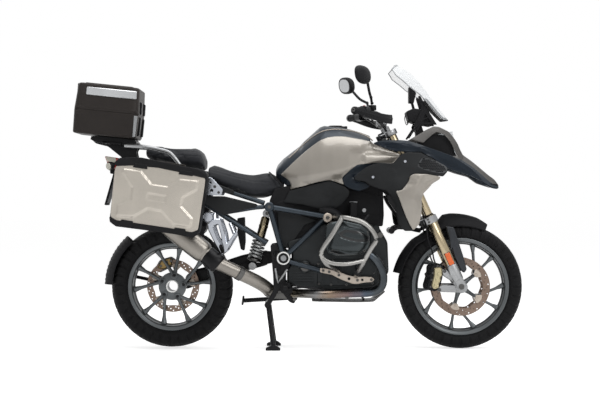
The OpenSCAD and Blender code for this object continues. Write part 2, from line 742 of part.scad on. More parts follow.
module rider_seat() {
    color(rubber_black) loft([
        station(-470, 868, 960, 150, 118, 0.5), station(-400, 842, 944, 158, 122, 0.5),
        station(-320, 816, 922, 150, 116, 0.5), station(-240, 790, 910, 138, 104, 0.5),
        station(-180, 790, 914, 126, 88, 0.5), station(-134, 806, 912, 114, 66, 0.5),
        station(-104, 820, 890, 106, 60, 0.55), station(-64, 840, 868, 96, 60, 0.6)]);
}

module pillion_seat() {
    color(rubber_black) loft([
        station(-800, 1000, 1050, 96, 84, 0.5), station(-760, 980, 1056, 118, 96, 0.5),
        station(-650, 950, 1044, 136, 116, 0.5), station(-560, 936, 1042, 144, 122, 0.5),
        station(-506, 930, 1036, 146, 118, 0.5), station(-474, 926, 968, 142, 118, 0.5)]);
}

module grab_rails() {
    color(bare_alloy) both_sides() bent_tube([[-900, 120, 1060], [-800, 152, 1054], [-668, 160, 1030],
        [-608, 162, 950]], 11);
}

module luggage_rack() {
    color(satin_black) {
        slab([[-1076, 1092], [-1056, 1072], [-992, 1056], [-922, 1000], [-900, 966], [-830, 966],
            [-846, 1030], [-826, 1062], [-840, 1078]], -60, 60);
        slab([[-1020, 1082], [-1010, 1070], [-914, 1062], [-914, 1074]], -130, -60.2);
        slab([[-1020, 1082], [-1010, 1070], [-914, 1062], [-914, 1074]], 60.2, 130);
    }
}

module tail_light() {
    color([0.5, 0.05, 0.05]) slab([[-1012, 1008], [-992, 950], [-956, 936], [-924, 946], [-924, 998]],
        -62, 62);
    color(satin_black) {
        slab([[-966, 926], [-978, 926], [-1024, 752], [-1012, 748]], -92, 92);
        slab([[-984, 944], [-984, 914], [-880, 900], [-880, 926]], -40, 40);
        both_sides() rod([-962, 62.2, 962], [-966, 128, 956], 7);
        both_sides() rod([-960, 128, 956], [-982, 150, 950], 22);
    }
}

module rear_mudguard() {
    color(satin_black) {
        wheel_sheet(rear_axle, rear_tyre_r + 26, 116, 182, 14, [80, 92], 10, 5);
        both_sides() rod(rear_axle + [-150, 99, 310], [-640, 99, 560], 7);
    }
}

// ---------- stands ----------
centre_pivot = [-158, 0, 232];
side_pivot = [-24, 176, 256];
side_axis = [0.112, -0.974, -0.195];

module centre_stand() {
    color(satin_black) {
        difference() {
            cross_bar(centre_pivot.x, centre_pivot.z, -118, 118, 17);
            cross_bar(centre_pivot.x, centre_pivot.z, -130, 130, 8 + pin_gap);
        }
        both_sides() {
            rod(centre_pivot + [4, 98, -10], [-128, 150, 22], 13);
            slab([[-168, 0], [-168, 14], [-140, 26], [-112, 26], [-92, 12], [-92, 0]], 132, 176);
        }
        rod([-140, -118, 108], [-140, 118, 108], 10);
    }
}

// The stand in its folded place, lying back along the left side.
module side_stand() {
    tip = [-292, 204, 238];
    color(satin_black) {
        rod(side_pivot - 11 * unit(side_axis), side_pivot + 11 * unit(side_axis), 19);
        rod(side_pivot + [-10, 1, -1], tip, 12);
        translate(tip) rotate([0, -82, 6]) cylinder(h = 9, r = 26);
    }
}

// ---------- cases ----------
case_tilt = 8.6;
case_corner = [-500, 0, 588];
case_split = 366;       // distance from the middle of the machine to the joint between body and lid
knuckle_r = 7;
top_tilt = 5.8;
top_corner = [-834, 0, 1092];
top_l = 336;
top_body_h = 128;
top_lid_h = 132;

// Moves a case to its tilted place: local X runs back along its lower edge from the front corner.
module case_place() {
    translate(case_corner) rotate([0, case_tilt, 0]) translate([-case_l, 0, 0]) children();
}

module top_place() {
    translate(top_corner) rotate([0, top_tilt, 0]) translate([-top_l, 0, 0]) children();
}

module case_shell(l, h, r, y0, y1, wall, open_low) {
    difference() {
        slab(round_rect(l, h, r), y0, y1);
        translate([wall, 0, wall]) slab(round_rect(l - 2 * wall, h - 2 * wall, r - wall),
            open_low ? y0 - 1 : y0 + wall, open_low ? y1 - wall : y1 + 1);
    }
}

hinge_x = [90, 340];     // places of a side case's two hinges along its lower edge

module left_case_body() {
    color(satin_black) case_place() {
        case_shell(case_l, case_h, 36, case_in_y, case_split - 0.5, case_wall, false);
        for (x = hinge_x) {
            translate([x, case_split, -knuckle_r - 2]) {
                rotate([0, 90, 0]) cylinder(h = 24, r = knuckle_r);
                rotate([0, 90, 0]) cylinder(h = 52, r = 3.5);
            }
            translate([x, case_split - 14, -knuckle_r - 2]) cube([24, 13.5, 12]);
        }
    }
}

module left_case_lid() {
    color(champagne) case_place() {
        case_shell(case_l, case_h, 36, case_split + 0.5, case_out_y, case_wall, true);
        for (x = hinge_x) difference() {
            union() {
                translate([x + 26, case_split, -knuckle_r - 2]) rotate([0, 90, 0]) cylinder(h = 24,
                    r = knuckle_r);
                translate([x + 26, case_split + 0.5, -knuckle_r - 2]) cube([24, 13.5, 12]);
            }
            translate([x + 20, case_split, -knuckle_r - 2]) rotate([0, 90, 0])
                cylinder(h = 40, r = 3.5 + pin_gap);
        }
    }
}

module side_case_bodies() {
    both_sides() left_case_body();
}

module right_case_lid() {
    mirror([0, 1, 0]) left_case_lid();
}

top_hinge = [top_l + 9, top_body_h + 2];

module top_case_body() {
    color(satin_black) top_place() {
        difference() {
            translate([0, -top_case_w / 2, 0]) linear_extrude(top_body_h) polygon(round_rect(top_l,
                top_case_w, 34));
            translate([case_wall, case_wall - top_case_w / 2, case_wall]) linear_extrude(top_body_h)
                polygon(round_rect(top_l - 2 * case_wall, top_case_w - 2 * case_wall, 30));
        }
        for (y = [-110, 80]) {
            translate([top_l - 0.5, y, top_hinge.y - 14]) cube([9.5, 26, 12]);
            translate([top_hinge.x, y, top_hinge.y]) rotate([-90, 0, 0]) cylinder(h = 26, r = 6);
            translate([top_hinge.x, y, top_hinge.y]) rotate([-90, 0, 0]) cylinder(h = 54, r = 3);
        }
    }
}

module top_case_lid() {
    color(satin_black) top_place() {
        difference() {
            translate([0, -top_case_w / 2, top_body_h + 0.5]) linear_extrude(top_lid_h)
                polygon(round_rect(top_l, top_case_w, 34));
            translate([case_wall, case_wall - top_case_w / 2,
                top_body_h]) linear_extrude(top_lid_h - case_wall)
                polygon(round_rect(top_l - 2 * case_wall, top_case_w - 2 * case_wall, 30));
        }
        for (y = [-82, 108]) difference() {
            union() {
                translate([top_l - 0.5, y, top_hinge.y]) cube([9.5, 24, 12]);
                translate([top_hinge.x, y, top_hinge.y]) rotate([-90, 0, 0]) cylinder(h = 24, r = 6);
            }
            translate([top_hinge.x, y - 5, top_hinge.y]) rotate([-90, 0, 0]) cylinder(h = 40,
                r = 3 + pin_gap);
        }
    }
}

engine_block();
cylinder_heads();
crash_bars();
main_frame();
rear_subframe();
case_carriers();
inner_covers();
fuel_tank();
fuel_cap();
side_panels();
upper_cowls();
radiator_shrouds();
radiators();
beak();
headlight();
headlight_surround();
windscreen();
instrument_panel();
rider_seat();
pillion_seat();
grab_rails();
luggage_rack();
tail_light();
rear_mudguard();
swing_arm();
rear_shock();
fork_wishbone();
exhaust_pipes();
silencer();
skid_plate();
footrests();
fork_legs();
fork_yokes();
front_axle();
handlebar();
handguards();
mirrors();
front_mudguard();
front_calipers();
front_rim();
front_tyre();
front_discs();
rear_rim();
rear_tyre();
rear_disc();
centre_stand();
side_stand();
top_case_body();
top_case_lid();
side_case_bodies();
right_case_lid();
left_case_lid();
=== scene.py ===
import bpy
import bmesh
import math
import numpy as np
from mathutils.geometry import delaunay_2d_cdt
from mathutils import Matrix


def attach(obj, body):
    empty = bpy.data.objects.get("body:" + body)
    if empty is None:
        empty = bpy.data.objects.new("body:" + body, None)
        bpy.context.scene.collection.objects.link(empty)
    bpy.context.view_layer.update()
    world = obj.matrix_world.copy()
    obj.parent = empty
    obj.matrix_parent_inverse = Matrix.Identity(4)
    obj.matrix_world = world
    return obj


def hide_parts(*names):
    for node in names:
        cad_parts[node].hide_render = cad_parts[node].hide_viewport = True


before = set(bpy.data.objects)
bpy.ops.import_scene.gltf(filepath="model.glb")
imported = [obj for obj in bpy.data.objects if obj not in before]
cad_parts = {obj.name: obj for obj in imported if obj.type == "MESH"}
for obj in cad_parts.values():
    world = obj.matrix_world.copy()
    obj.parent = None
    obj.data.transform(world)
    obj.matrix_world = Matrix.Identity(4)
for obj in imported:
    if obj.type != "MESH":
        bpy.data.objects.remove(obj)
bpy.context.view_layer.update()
print("stage: frame loaded")

# Lengths are in millimetres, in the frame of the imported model, and become metres in makePiece.
# A part is (points, blocks of faces, material number), and a piece is one or more parts in one mesh.


def unit(v):
    # each row divided by its length
    v = np.asarray(v, float)
    return v / np.maximum(np.linalg.norm(v, axis=-1, keepdims=True), 1e-9)


def curve(points, count, closed=False):
    # cubic Hermite spans through the points; a tangent is the chord of the neighbours over their arc distance
    p = np.asarray(points, float)
    q = np.vstack([p, p[:1]]) if closed else p
    seg = np.maximum(np.linalg.norm(np.diff(q, axis=0), axis=1), 1e-9)
    s = np.concatenate([[0], np.cumsum(seg)])
    if closed:
        slope = (np.roll(p, -1, 0) - np.roll(p, 1, 0)) / (seg + np.roll(seg, 1))[:, None]
        slope = np.vstack([slope, slope[:1]])
    else:
        slope = np.empty_like(p)
        slope[1:-1] = (p[2:] - p[:-2]) / (seg[1:] + seg[:-1])[:, None]
        slope[0] = (p[1] - p[0]) / seg[0]
        slope[-1] = (p[-1] - p[-2]) / seg[-1]
    t = np.linspace(0, s[-1], count, endpoint=not closed)
    i = np.clip(np.searchsorted(s, t, side="right") - 1, 0, len(seg) - 1)
    u = ((t - s[i]) / seg[i])[:, None]
    d = seg[i][:, None]
    return ((2 * u**3 - 3 * u**2 + 1) * q[i] + (u**3 - 2 * u**2 + u) * d * slope[i]
            + (3 * u**2 - 2 * u**3) * q[i + 1] + (u**3 - u**2) * d * slope[i + 1])


def rounded(points, reach, steps=5, closed=False):
    # each corner becomes a quadratic curve that meets its edges at reach from it, or at 0.45 of a short edge
    p = np.asarray(points, float)
    back = np.roll(p, 1, 0) - p
    ahead = np.roll(p, -1, 0) - p
    lb = np.linalg.norm(back, axis=1, keepdims=True)
    la = np.linalg.norm(ahead, axis=1, keepdims=True)
    a = p + back * np.minimum(0.45, reach / np.maximum(lb, 1e-9))
    b = p + ahead * np.minimum(0.45, reach / np.maximum(la, 1e-9))
    t = np.linspace(0, 1, steps)[None, :, None]
    arcs = (1 - t)**2 * a[:, None] + 2 * t * (1 - t) * p[:, None] + t**2 * b[:, None]
    if closed:
        return arcs.reshape(-1, p.shape[1])
    return np.vstack([p[:1], arcs[1:-1].reshape(-1, p.shape[1]), p[-1:]])


def soft(points, reach, steps=4):
    # the same for a closed outline
    return rounded(points, reach, steps, True)


def resample(points, spacing, closed=True):
    # each edge split into equal steps no longer than spacing, its corners kept
    p = np.asarray(points, float)
    a = p if closed else p[:-1]
    b = np.roll(p, -1, 0) if closed else p[1:]
    n = np.maximum(1, np.ceil(np.linalg.norm(b - a, axis=1) / spacing)).astype(int)
    i = np.repeat(np.arange(len(a)), n)
    k = np.arange(n.sum()) - np.repeat(np.cumsum(n) - n, n)
    out = a[i] + (b[i] - a[i]) * (k / n[i])[:, None]
    return out if closed else np.vstack([out, p[-1:]])


def edgeDistance(spots, outline):
    # distance of each spot to a closed outline, positive inside it by the even-odd rule
    a = np.asarray(outline, float)
    d = np.roll(a, -1, 0) - a
    r = spots[:, None] - a[None]
    t = np.clip((r * d).sum(2) / np.maximum((d * d).sum(1), 1e-9), 0, 1)
    far = np.linalg.norm(r - t[..., None] * d, axis=2).min(1)
    crosses = (a[:, 1] > spots[:, None, 1]) != (np.roll(a, -1, 0)[:, 1] > spots[:, None, 1])
    at = a[:, 0] + (spots[:, None, 1] - a[:, 1]) * d[:, 0] / np.where(np.abs(d[:, 1]) < 1e-9, 1e-9, d[:, 1])
    inside = (crosses & (spots[:, None, 0] < at)).sum(1) % 2 == 1
    return np.where(inside, far, -far)


def outwards(ring, reach=2):
    # at each point of a closed outline, the unit normal to the chord of its neighbours, pointing out
    along = np.roll(ring, -1, 0) - np.roll(ring, 1, 0)
    normal = unit(np.stack([along[:, 1], -along[:, 0]], -1))
    return -normal if edgeDistance(ring + normal * reach, ring).mean() > 0 else normal


def ease(x):
    # 0 below 0, 1 above 1 and 3x² - 2x³ between
    x = np.clip(x, 0, 1)
    return x * x * (3 - 2 * x)


def throughSamples(samples):
    # the sheet y(x, z) of least bending through samples of x, z, y: a sum of r squared log r about each, plus
    # a plane
    s = np.asarray(samples, float)
    at = s[:, :2] / 100

    def near(q):
        r2 = ((q[:, None] - at[None])**2).sum(2)
        return 0.5 * r2 * np.log(r2 + 1e-12)

    n = len(s)
    flat = np.hstack([np.ones((n, 1)), at])
    left = np.block([[near(at) + 0.002 * np.eye(n), flat], [flat.T, np.zeros((3, 3))]])
    w = np.linalg.solve(left, np.concatenate([s[:, 2], [0, 0, 0]]))
    return lambda spots: near(spots / 100) @ w[:n] + w[n] + spots / 100 @ w[n + 1:]


def gridFaces(rows, cols, wrapRows=False, wrapCols=False):
    # the four corners of every cell of a grid of points, in order round the cell
    r, c = np.meshgrid(np.arange(rows - (not wrapRows)), np.arange(cols - (not wrapCols)), indexing="ij")
    up, on = (r + 1) % rows, (c + 1) % cols
    return np.stack([r * cols + c, r * cols + on, up * cols + on, up * cols + c], -1).reshape(-1, 4)


def sheet(points, material=0, wrapRows=False, wrapCols=False):
    # a grid of points as one part
    g = np.asarray(points, float)
    return (g.reshape(-1, 3), [gridFaces(g.shape[0], g.shape[1], wrapRows, wrapCols)], material)


def capped(grid, material=0):
    # a grid whose rows are closed rings, its first and last ring filled
    part = sheet(grid, material, wrapCols=True)
    n = grid.shape[1]
    part[1].append(np.arange(n)[None, ::-1])
    part[1].append(np.arange(n)[None] + (len(grid) - 1) * n)
    return part


def shell(front, back, material=0):
    # two grids of the same size, front and back, joined round their border into a closed wall
    r, c = front.shape[:2]
    f = gridFaces(r, c)
    edge = np.concatenate([np.arange(c), np.arange(1, r) * c + c - 1, (r - 1) * c + np.arange(c - 2, -1, -1),
        np.arange(r - 2, 0, -1) * c])
    on = np.roll(edge, -1)
    wall = np.stack([edge, on, on + r * c, edge + r * c], -1)
    return (np.vstack([front.reshape(-1, 3), back.reshape(-1, 3)]), [f, f[:, ::-1] + r * c, wall], material)


def circle(sides, power=1.0):
    # points round the unit circle, or round a box with soft corners where power is below 1
    a = np.arange(sides) * 2 * np.pi / sides
    c, s = np.cos(a), np.sin(a)
    return np.stack([np.sign(c) * np.abs(c)**power, np.sign(s) * np.abs(s)**power], -1)


def sweep(path, radius, sides=16, up=(0, 0, 1), power=1.0, bevel=0.0, material=0, closed=False):
    # a ring along a path: point + radius·(side·cos + top·sin), side = tangent × up, top = side × tangent
    p = np.asarray(path, float)
    r = np.asarray(radius, float)
    r = np.broadcast_to(r[:, None] if r.ndim == 1 else r, (len(p), 2)).copy()
    if closed:
        tangent = unit(np.roll(p, -1, 0) - np.roll(p, 1, 0))
    else:
        tangent = unit(np.gradient(p, axis=0))
    side = unit(np.cross(tangent, np.asarray(up, float)))
    top = np.cross(side, tangent)
    if bevel and not closed:
        p = np.vstack([p[:1], p[:1] + tangent[:1] * bevel, p[1:-1], p[-1:] - tangent[-1:] * bevel, p[-1:]])
        r = np.vstack([r[:1] - bevel, r[:1], r[1:-1], r[-1:], r[-1:] - bevel])
        side = np.vstack([side[:1], side, side[-1:]])
        top = np.vstack([top[:1], top, top[-1:]])
    ring = circle(sides, power)
    g = (p[:, None] + (r[:, :1] * ring[:, 0])[..., None] * side[:, None]
         + (r[:, 1:] * ring[:, 1])[..., None] * top[:, None])
    return sheet(g, material, True, True) if closed else capped(g, material)


def tube(points, radius, count=40, **more):
    # a sweep along the smooth curve through the points
    return sweep(curve(points, count), radius, **more)


def bent(points, radius, reach=40, **more):
    # a sweep along straight runs with rounded bends
    return sweep(rounded(points, reach), radius, **more)


def turned(profile, start, direction, sides=40, material=0, closed=False):
    # a profile of (radius, distance along) turned about the line from start in a direction
    axis = unit(direction)
    side = unit(np.cross(axis, [0.0, 0.0, 1.0] if abs(axis[2]) < 0.9 else [1.0, 0.0, 0.0]))
    top = np.cross(axis, side)
    pr = np.asarray(profile, float)
    ring = circle(sides)
    g = (np.asarray(start, float) + pr[:, 1][:, None, None] * axis
         + pr[:, 0][:, None, None] * (ring[:, :1] * side + ring[:, 1:] * top)[None])
    return sheet(g, material, True, True) if closed else capped(g, material)


def turnedRing(profile, start, direction, sides=40, material=0):
    # the same for a closed profile that stays clear of the line
    return turned(profile, start, direction, sides, material, True)


def moved(part, turn=None, shift=(0, 0, 0)):
    # a part turned by a 3 by 3 matrix about the origin, then shifted
    p = part[0] if turn is None else part[0] @ np.asarray(turn, float).T
    return (p + np.asarray(shift, float), part[1], part[2])


def aboutY(degrees):
    # turns +X towards +Z
    a = math.radians(degrees)
    return np.array([[math.cos(a), 0, -math.sin(a)], [0, 1, 0], [math.sin(a), 0, math.cos(a)]])


def mirrored(parts):
    # the same parts on the machine's other side
    return [(p * [1, -1, 1], f, m) for p, f, m in parts]


def bothSides(parts):
    return parts + mirrored(parts)


def triangles(outline, extra, holes):
    # Delaunay triangles inside an outline, kept where their middle is outside every hole
    rings = [outline] + list(holes)
    points = np.vstack(rings + ([extra] if len(extra) else []))
    edges, start = [], 0
    for ring in rings:
        k = np.arange(len(ring)) + start
        edges += np.stack([k, np.roll(k, -1)], -1).tolist()
        start += len(ring)
    out, _, faces, _, _, _ = delaunay_2d_cdt(points.tolist(), edges, [list(range(len(outline)))], 1, 1e-5)
    xy = np.array([tuple(v) for v in out])
    tri = np.array([f for f in faces if len(f) == 3])
    middle = xy[tri].mean(1)
    keep = edgeDistance(middle, outline) > 0
    for hole in holes:
        keep &= edgeDistance(middle, hole) < 0
    return xy, tri[keep]


def borderOf(tri):
    # edges that only one triangle has, in that triangle's direction
    e = np.vstack([tri[:, [0, 1]], tri[:, [1, 2]], tri[:, [2, 0]]])
    key = np.sort(e, 1)
    _, first, n = np.unique(key, axis=0, return_index=True, return_counts=True)
    return e[first[n == 1]]


def skin(outline, depth, thick=4, edge=3, spacing=9, lines=(), holes=(), relief=None, material=0, side=-1):
    # a panel over an x, z outline: it stands depth(x, z) from the middle plane, drops by a quarter round
    # within edge of its rim, carries a relief, and has a back thick behind its front
    ring = resample(outline, spacing)
    holeRings = [np.asarray(h, float) for h in holes]
    lo, hi = ring.min(0), ring.max(0)
    gx, gz = np.meshgrid(np.arange(lo[0], hi[0], spacing), np.arange(lo[1], hi[1], spacing * 0.87))
    gx = gx + (np.arange(len(gx)) % 2)[:, None] * spacing / 2
    inner = np.stack([gx.ravel(), gz.ravel()], -1)
    gap = edgeDistance(inner, ring)
    for h in holeRings:
        gap = np.minimum(gap, -edgeDistance(inner, h))
    inner = inner[gap > edge + 0.4 * spacing]
    extra = []
    normal = -outwards(ring, 0.3)
    for share in (0.15, 0.45, 1.0):
        row = ring + normal * edge * share
        extra.append(row[edgeDistance(row, ring) > 0.9 * edge * share])
    for line in lines:
        row = resample(line, spacing * 0.6, closed=False)
        row = row[edgeDistance(row, ring) > edge * 1.1]
        if len(row):
            clear = np.linalg.norm(inner[:, None] - row[None], axis=2).min(1) > 0.45 * spacing
            inner = inner[clear]
            extra.append(row)
    extra.append(inner)
    xz, tri = triangles(ring, np.vstack(extra), holeRings)
    gap = np.maximum(edgeDistance(xz, ring), 0)
    y = depth(xz)
    back = y - thick
    drop = edge * (1 - np.sqrt(np.maximum(1 - (1 - np.minimum(gap / edge, 1))**2, 0)))
    y = y - np.minimum(drop, thick * 0.8)
    if relief is not None:
        y = y + relief(xz)
        back = np.minimum(back, y - thick * 0.2)
    n = len(xz)
    points = np.vstack([np.stack([xz[:, 0], side * y, xz[:, 1]], -1), np.stack([xz[:, 0], side * back,
        xz[:, 1]], -1)])
    rim = borderOf(tri)
    wall = np.stack([rim[:, 0], rim[:, 1], rim[:, 1] + n, rim[:, 0] + n], -1)
    return (points, [tri, tri[:, ::-1] + n, wall[:, ::-1]], material)


def plate(outline, y0, y1, bevel=1.5, material=0, holes=()):
    # an x, z outline made solid from y0 to y1, its rims bevelled by moving each point along its mitre
    rings = [np.asarray(outline, float)] + [np.asarray(h, float) for h in holes]
    inset = []
    for number, ring in enumerate(rings):
        a = unit(ring - np.roll(ring, 1, 0))
        b = unit(np.roll(ring, -1, 0) - ring)
        normal = np.stack([-(a + b)[:, 1], (a + b)[:, 0]], -1)
        normal = unit(normal) / np.maximum(np.sqrt((1 + (a * b).sum(1)) / 2), 0.5)[:, None]
        if (edgeDistance(ring + normal * 0.2, ring) > 0).mean() < 0.5:
            normal = -normal
        inset.append(ring + normal * bevel * (1 if number == 0 else -1))
    xz, tri = triangles(inset[0], np.zeros((0, 2)), inset[1:])
    n = len(xz)
    lo, hi = min(y0, y1), max(y0, y1)
    points = [np.stack([xz[:, 0], np.full(n, lo), xz[:, 1]], -1), np.stack([xz[:, 0], np.full(n, hi),
        xz[:, 1]], -1)]
    blocks = [tri, tri[:, ::-1] + n]
    start = 2 * n
    for ring, small in zip(rings, inset):
        rows = [(small, lo), (ring, lo + bevel), (ring, hi - bevel), (small, hi)]
        g = np.stack([np.stack([r[:, 0], np.full(len(r), y), r[:, 1]], -1) for r, y in rows])
        points.append(g.reshape(-1, 3))
        blocks.append(gridFaces(4, len(ring), wrapCols=True) + start)
        start += 4 * len(ring)
    return (np.vstack(points), blocks, material)


def slab(points, reach, y0, y1, bevel=1.5, material=0, holes=(), steps=4):
    # a plate with rounded corners
    return plate(soft(points, reach, steps), y0, y1, bevel, material, holes)


def box(x0, x1, z0, z1):
    # the corners of a rectangle, or of a straight wall's profile
    return [(x0, z0), (x1, z0), (x1, z1), (x0, z1)]


def cutBox(x0, x1, z0, z1, inward, along):
    # the same with both corners at x1 cut off, by inward on the ends and by along on the side
    return [(x0, z0), (x1 - inward, z0), (x1, z0 + along), (x1, z1 - along), (x1 - inward, z1), (x0, z1)]


def round2(x, z, r, sides=24):
    # a circle of points about x, z
    return np.array([x, z]) + r * circle(sides)


def bolt(at, direction, r, height, material=0, sides=18):
    # a round head with a six-sided socket sunk in it
    return turned([(0, 0), (r, 0), (r, height * 0.7), (r * 0.85, height), (r * 0.55, height),
        (r * 0.5, height * 0.35), (0, height * 0.35)], at, direction, sides, material)


def bolts(spots, y, r, height, material=0):
    # bolts at x, z spots, all facing the right side
    return [bolt((x, y, z), (0, -1, 0), r, height, material) for x, z in spots]


def boxShell(outline, y0, y1, r, material, count=7):
    # an x, z outline carried across from y0 to y1 with both rims rounded by r
    poly = resample(outline, 14)
    normal = outwards(poly)
    a = np.linspace(0, np.pi / 2, count)
    d0 = np.concatenate([r * (1 - np.sin(a)), r * (1 - np.cos(a))])
    yy = np.concatenate([y0 + r * (1 - np.cos(a)), y1 - r * (1 - np.sin(a))])
    g = poly[None] - normal[None] * d0[:, None, None]
    g = np.stack([g[..., 0], np.broadcast_to(yy[:, None], g.shape[:2]), g[..., 1]], -1)
    return capped(g, material)


def trayPart(grid, back, material):
    # rings down the outside to row back and up the inside again, joined at the open rim, both floors filled
    rows, n = grid.shape[:2]
    faces = np.delete(gridFaces(rows, n, wrapCols=True), np.arange(back * n, (back + 1) * n), 0)
    rim = gridFaces(2, n, wrapCols=True)
    rim = np.where(rim >= n, rim - n, rim + (rows - 1) * n)
    floor = np.arange(n)[None]
    return (grid.reshape(-1, 3), [faces, rim, floor + back * n, floor[:, ::-1] + (back + 1) * n], material)


def trayShell(outline, yOpen, yBack, wall, r, material):
    # an open tray: outside from the open rim to a rounded back, and inside again a wall thinner
    poly = resample(outline, 14)
    normal = outwards(poly)
    s = 1 if yBack > yOpen else -1
    a = np.linspace(0, np.pi / 2, 7)
    out = [(0, yOpen)] + [(r * (1 - math.cos(t)), yBack - s * r * (1 - math.sin(t))) for t in a]
    inn = [(wall + r * 0.7 * (1 - math.cos(t)), yBack - s * wall - s * r * 0.7 * (1 - math.sin(t)))
        for t in a[::-1]] + [(wall, yOpen)]
    g = [(poly - normal * d, y) for d, y in out + inn]
    grid = np.stack([np.stack([p[:, 0], np.full(len(p), y), p[:, 1]], -1) for p, y in g])
    return trayPart(grid, len(out) - 1, material)


def makePiece(name, body, parts, lookNames, replaces=(), smooth=38, weld=4e-7):
    # joins the parts, merges doubled points, turns every face outwards and shades it smooth up to an angle
    points, faces, ids, start = [], [], [], 0
    for p, blocks, number in parts:
        points.append(p)
        for block in blocks:
            block = np.asarray(block) + start
            faces += block.tolist()
            ids.append(np.full(len(block), number))
        start += len(p)
    mesh = bpy.data.meshes.new(name)
    mesh.from_pydata((np.vstack(points) / 1000).tolist(), [], faces)
    mesh.polygons.foreach_set("material_index", np.concatenate(ids).astype(np.int32))
    bm = bmesh.new()
    bm.from_mesh(mesh)
    bmesh.ops.remove_doubles(bm, verts=bm.verts, dist=weld)
    bmesh.ops.dissolve_degenerate(bm, edges=bm.edges, dist=weld)
    bmesh.ops.recalc_face_normals(bm, faces=bm.faces)
    bm.to_mesh(mesh)
    bm.free()
    for look in lookNames.split():
        mesh.materials.append(finishes[look])
    mesh.polygons.foreach_set("use_smooth", np.ones(len(mesh.polygons), bool))
    mesh.set_sharp_from_angle(angle=math.radians(smooth))
    mesh.update()
    piece = bpy.data.objects.new(name, mesh)
    bpy.context.scene.collection.objects.link(piece)
    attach(piece, body)
    if replaces:
        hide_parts(*replaces)
    return piece


# The steering axis leans back by rake from its foot; a point of the steering is (ahead, across, up the axis).
rake = math.radians(24.5)
steerFoot = np.array([848 - 44 * math.cos(rake), 0, 325 - 44 * math.sin(rake)])


def steer(points):
    # local (ahead, across, up) turned by the rake and moved to the axis foot
    p = np.atleast_2d(np.asarray(points, float))
    out = steerFoot + np.stack([p[:, 0] * math.cos(rake) - p[:, 2] * math.sin(rake), p[:, 1],
        p[:, 0] * math.sin(rake) + p[:, 2] * math.cos(rake)], -1)
    return out if np.ndim(points) > 1 else out[0]


def steered(part):
    # a part drawn in steering coordinates, put in its place
    return (steer(part[0]), part[1], part[2])


frontAxle = np.array([848.0, 0, 325])
rearAxle = np.array([-659.0, 0, 325])


def addNode(tree, kind, **settings):
    # a shader node with its properties and socket values set; a value that is a socket gets linked
    node = tree.nodes.new(kind)
    for key, value in settings.items():
        if hasattr(node, key) and not isinstance(value, dict):
            setattr(node, key, value)
    for socket, value in settings.get("sockets", {}).items():
        if isinstance(value, bpy.types.NodeSocket):
            tree.links.new(value, node.inputs[socket])
        else:
            node.inputs[socket].default_value = value
    return node


def finish(name, color, rough=0.4, metal=0.0, mottle=0.08, mottleScale=9, grain=0.0, grainScale=700,
        stretch=(1, 1, 1), coat=0.0, coatRough=0.05, specular=0.5, roughSwing=0.08, sheen=0.0,
        turn=(0, 0, 0)):
    # one finish: slow noise shifts the colour and the roughness, fast noise is the grain of the surface
    material = bpy.data.materials.new(name)
    material.use_nodes = True
    tree = material.node_tree
    shader = tree.nodes["Principled BSDF"]
    place = addNode(tree, "ShaderNodeTexCoord")
    mapped = addNode(tree, "ShaderNodeMapping", sockets={"Vector": place.outputs["Object"], "Scale": stretch,
        "Rotation": turn})
    slow = addNode(tree, "ShaderNodeTexNoise", sockets={"Vector": place.outputs["Object"],
        "Scale": mottleScale, "Detail": 3.0})
    fast = addNode(tree, "ShaderNodeTexNoise", sockets={"Vector": mapped.outputs["Vector"],
        "Scale": grainScale, "Detail": 2.0})
    low = tuple(c * (1 - mottle) for c in color)
    high = tuple(min(1, c * (1 + mottle)) for c in color)
    tint = addNode(tree, "ShaderNodeMix", data_type="RGBA")
    spread = addNode(tree, "ShaderNodeMapRange", sockets={"Value": slow.outputs["Fac"], "From Min": 0.3,
        "From Max": 0.7})
    tree.links.new(spread.outputs["Result"], tint.inputs["Factor"])
    tint.inputs["A"].default_value = (*low, 1)
    tint.inputs["B"].default_value = (*high, 1)
    tree.links.new(tint.outputs["Result"], shader.inputs["Base Color"])
    blur = addNode(tree, "ShaderNodeMapRange", sockets={"Value": fast.outputs["Fac"], "From Min": 0.3,
        "From Max": 0.7, "To Min": max(0.02, rough - roughSwing), "To Max": min(1, rough + roughSwing)})
    tree.links.new(blur.outputs["Result"], shader.inputs["Roughness"])
    shader.inputs["Metallic"].default_value = metal
    shader.inputs["Specular IOR Level"].default_value = specular
    shader.inputs["Coat Weight"].default_value = coat
    shader.inputs["Coat Roughness"].default_value = coatRough
    shader.inputs["Sheen Weight"].default_value = sheen
    if grain:
        bump = addNode(tree, "ShaderNodeBump", sockets={"Height": fast.outputs["Fac"], "Strength": grain,
            "Distance": 0.0005})
        tree.links.new(bump.outputs["Normal"], shader.inputs["Normal"])
    return material


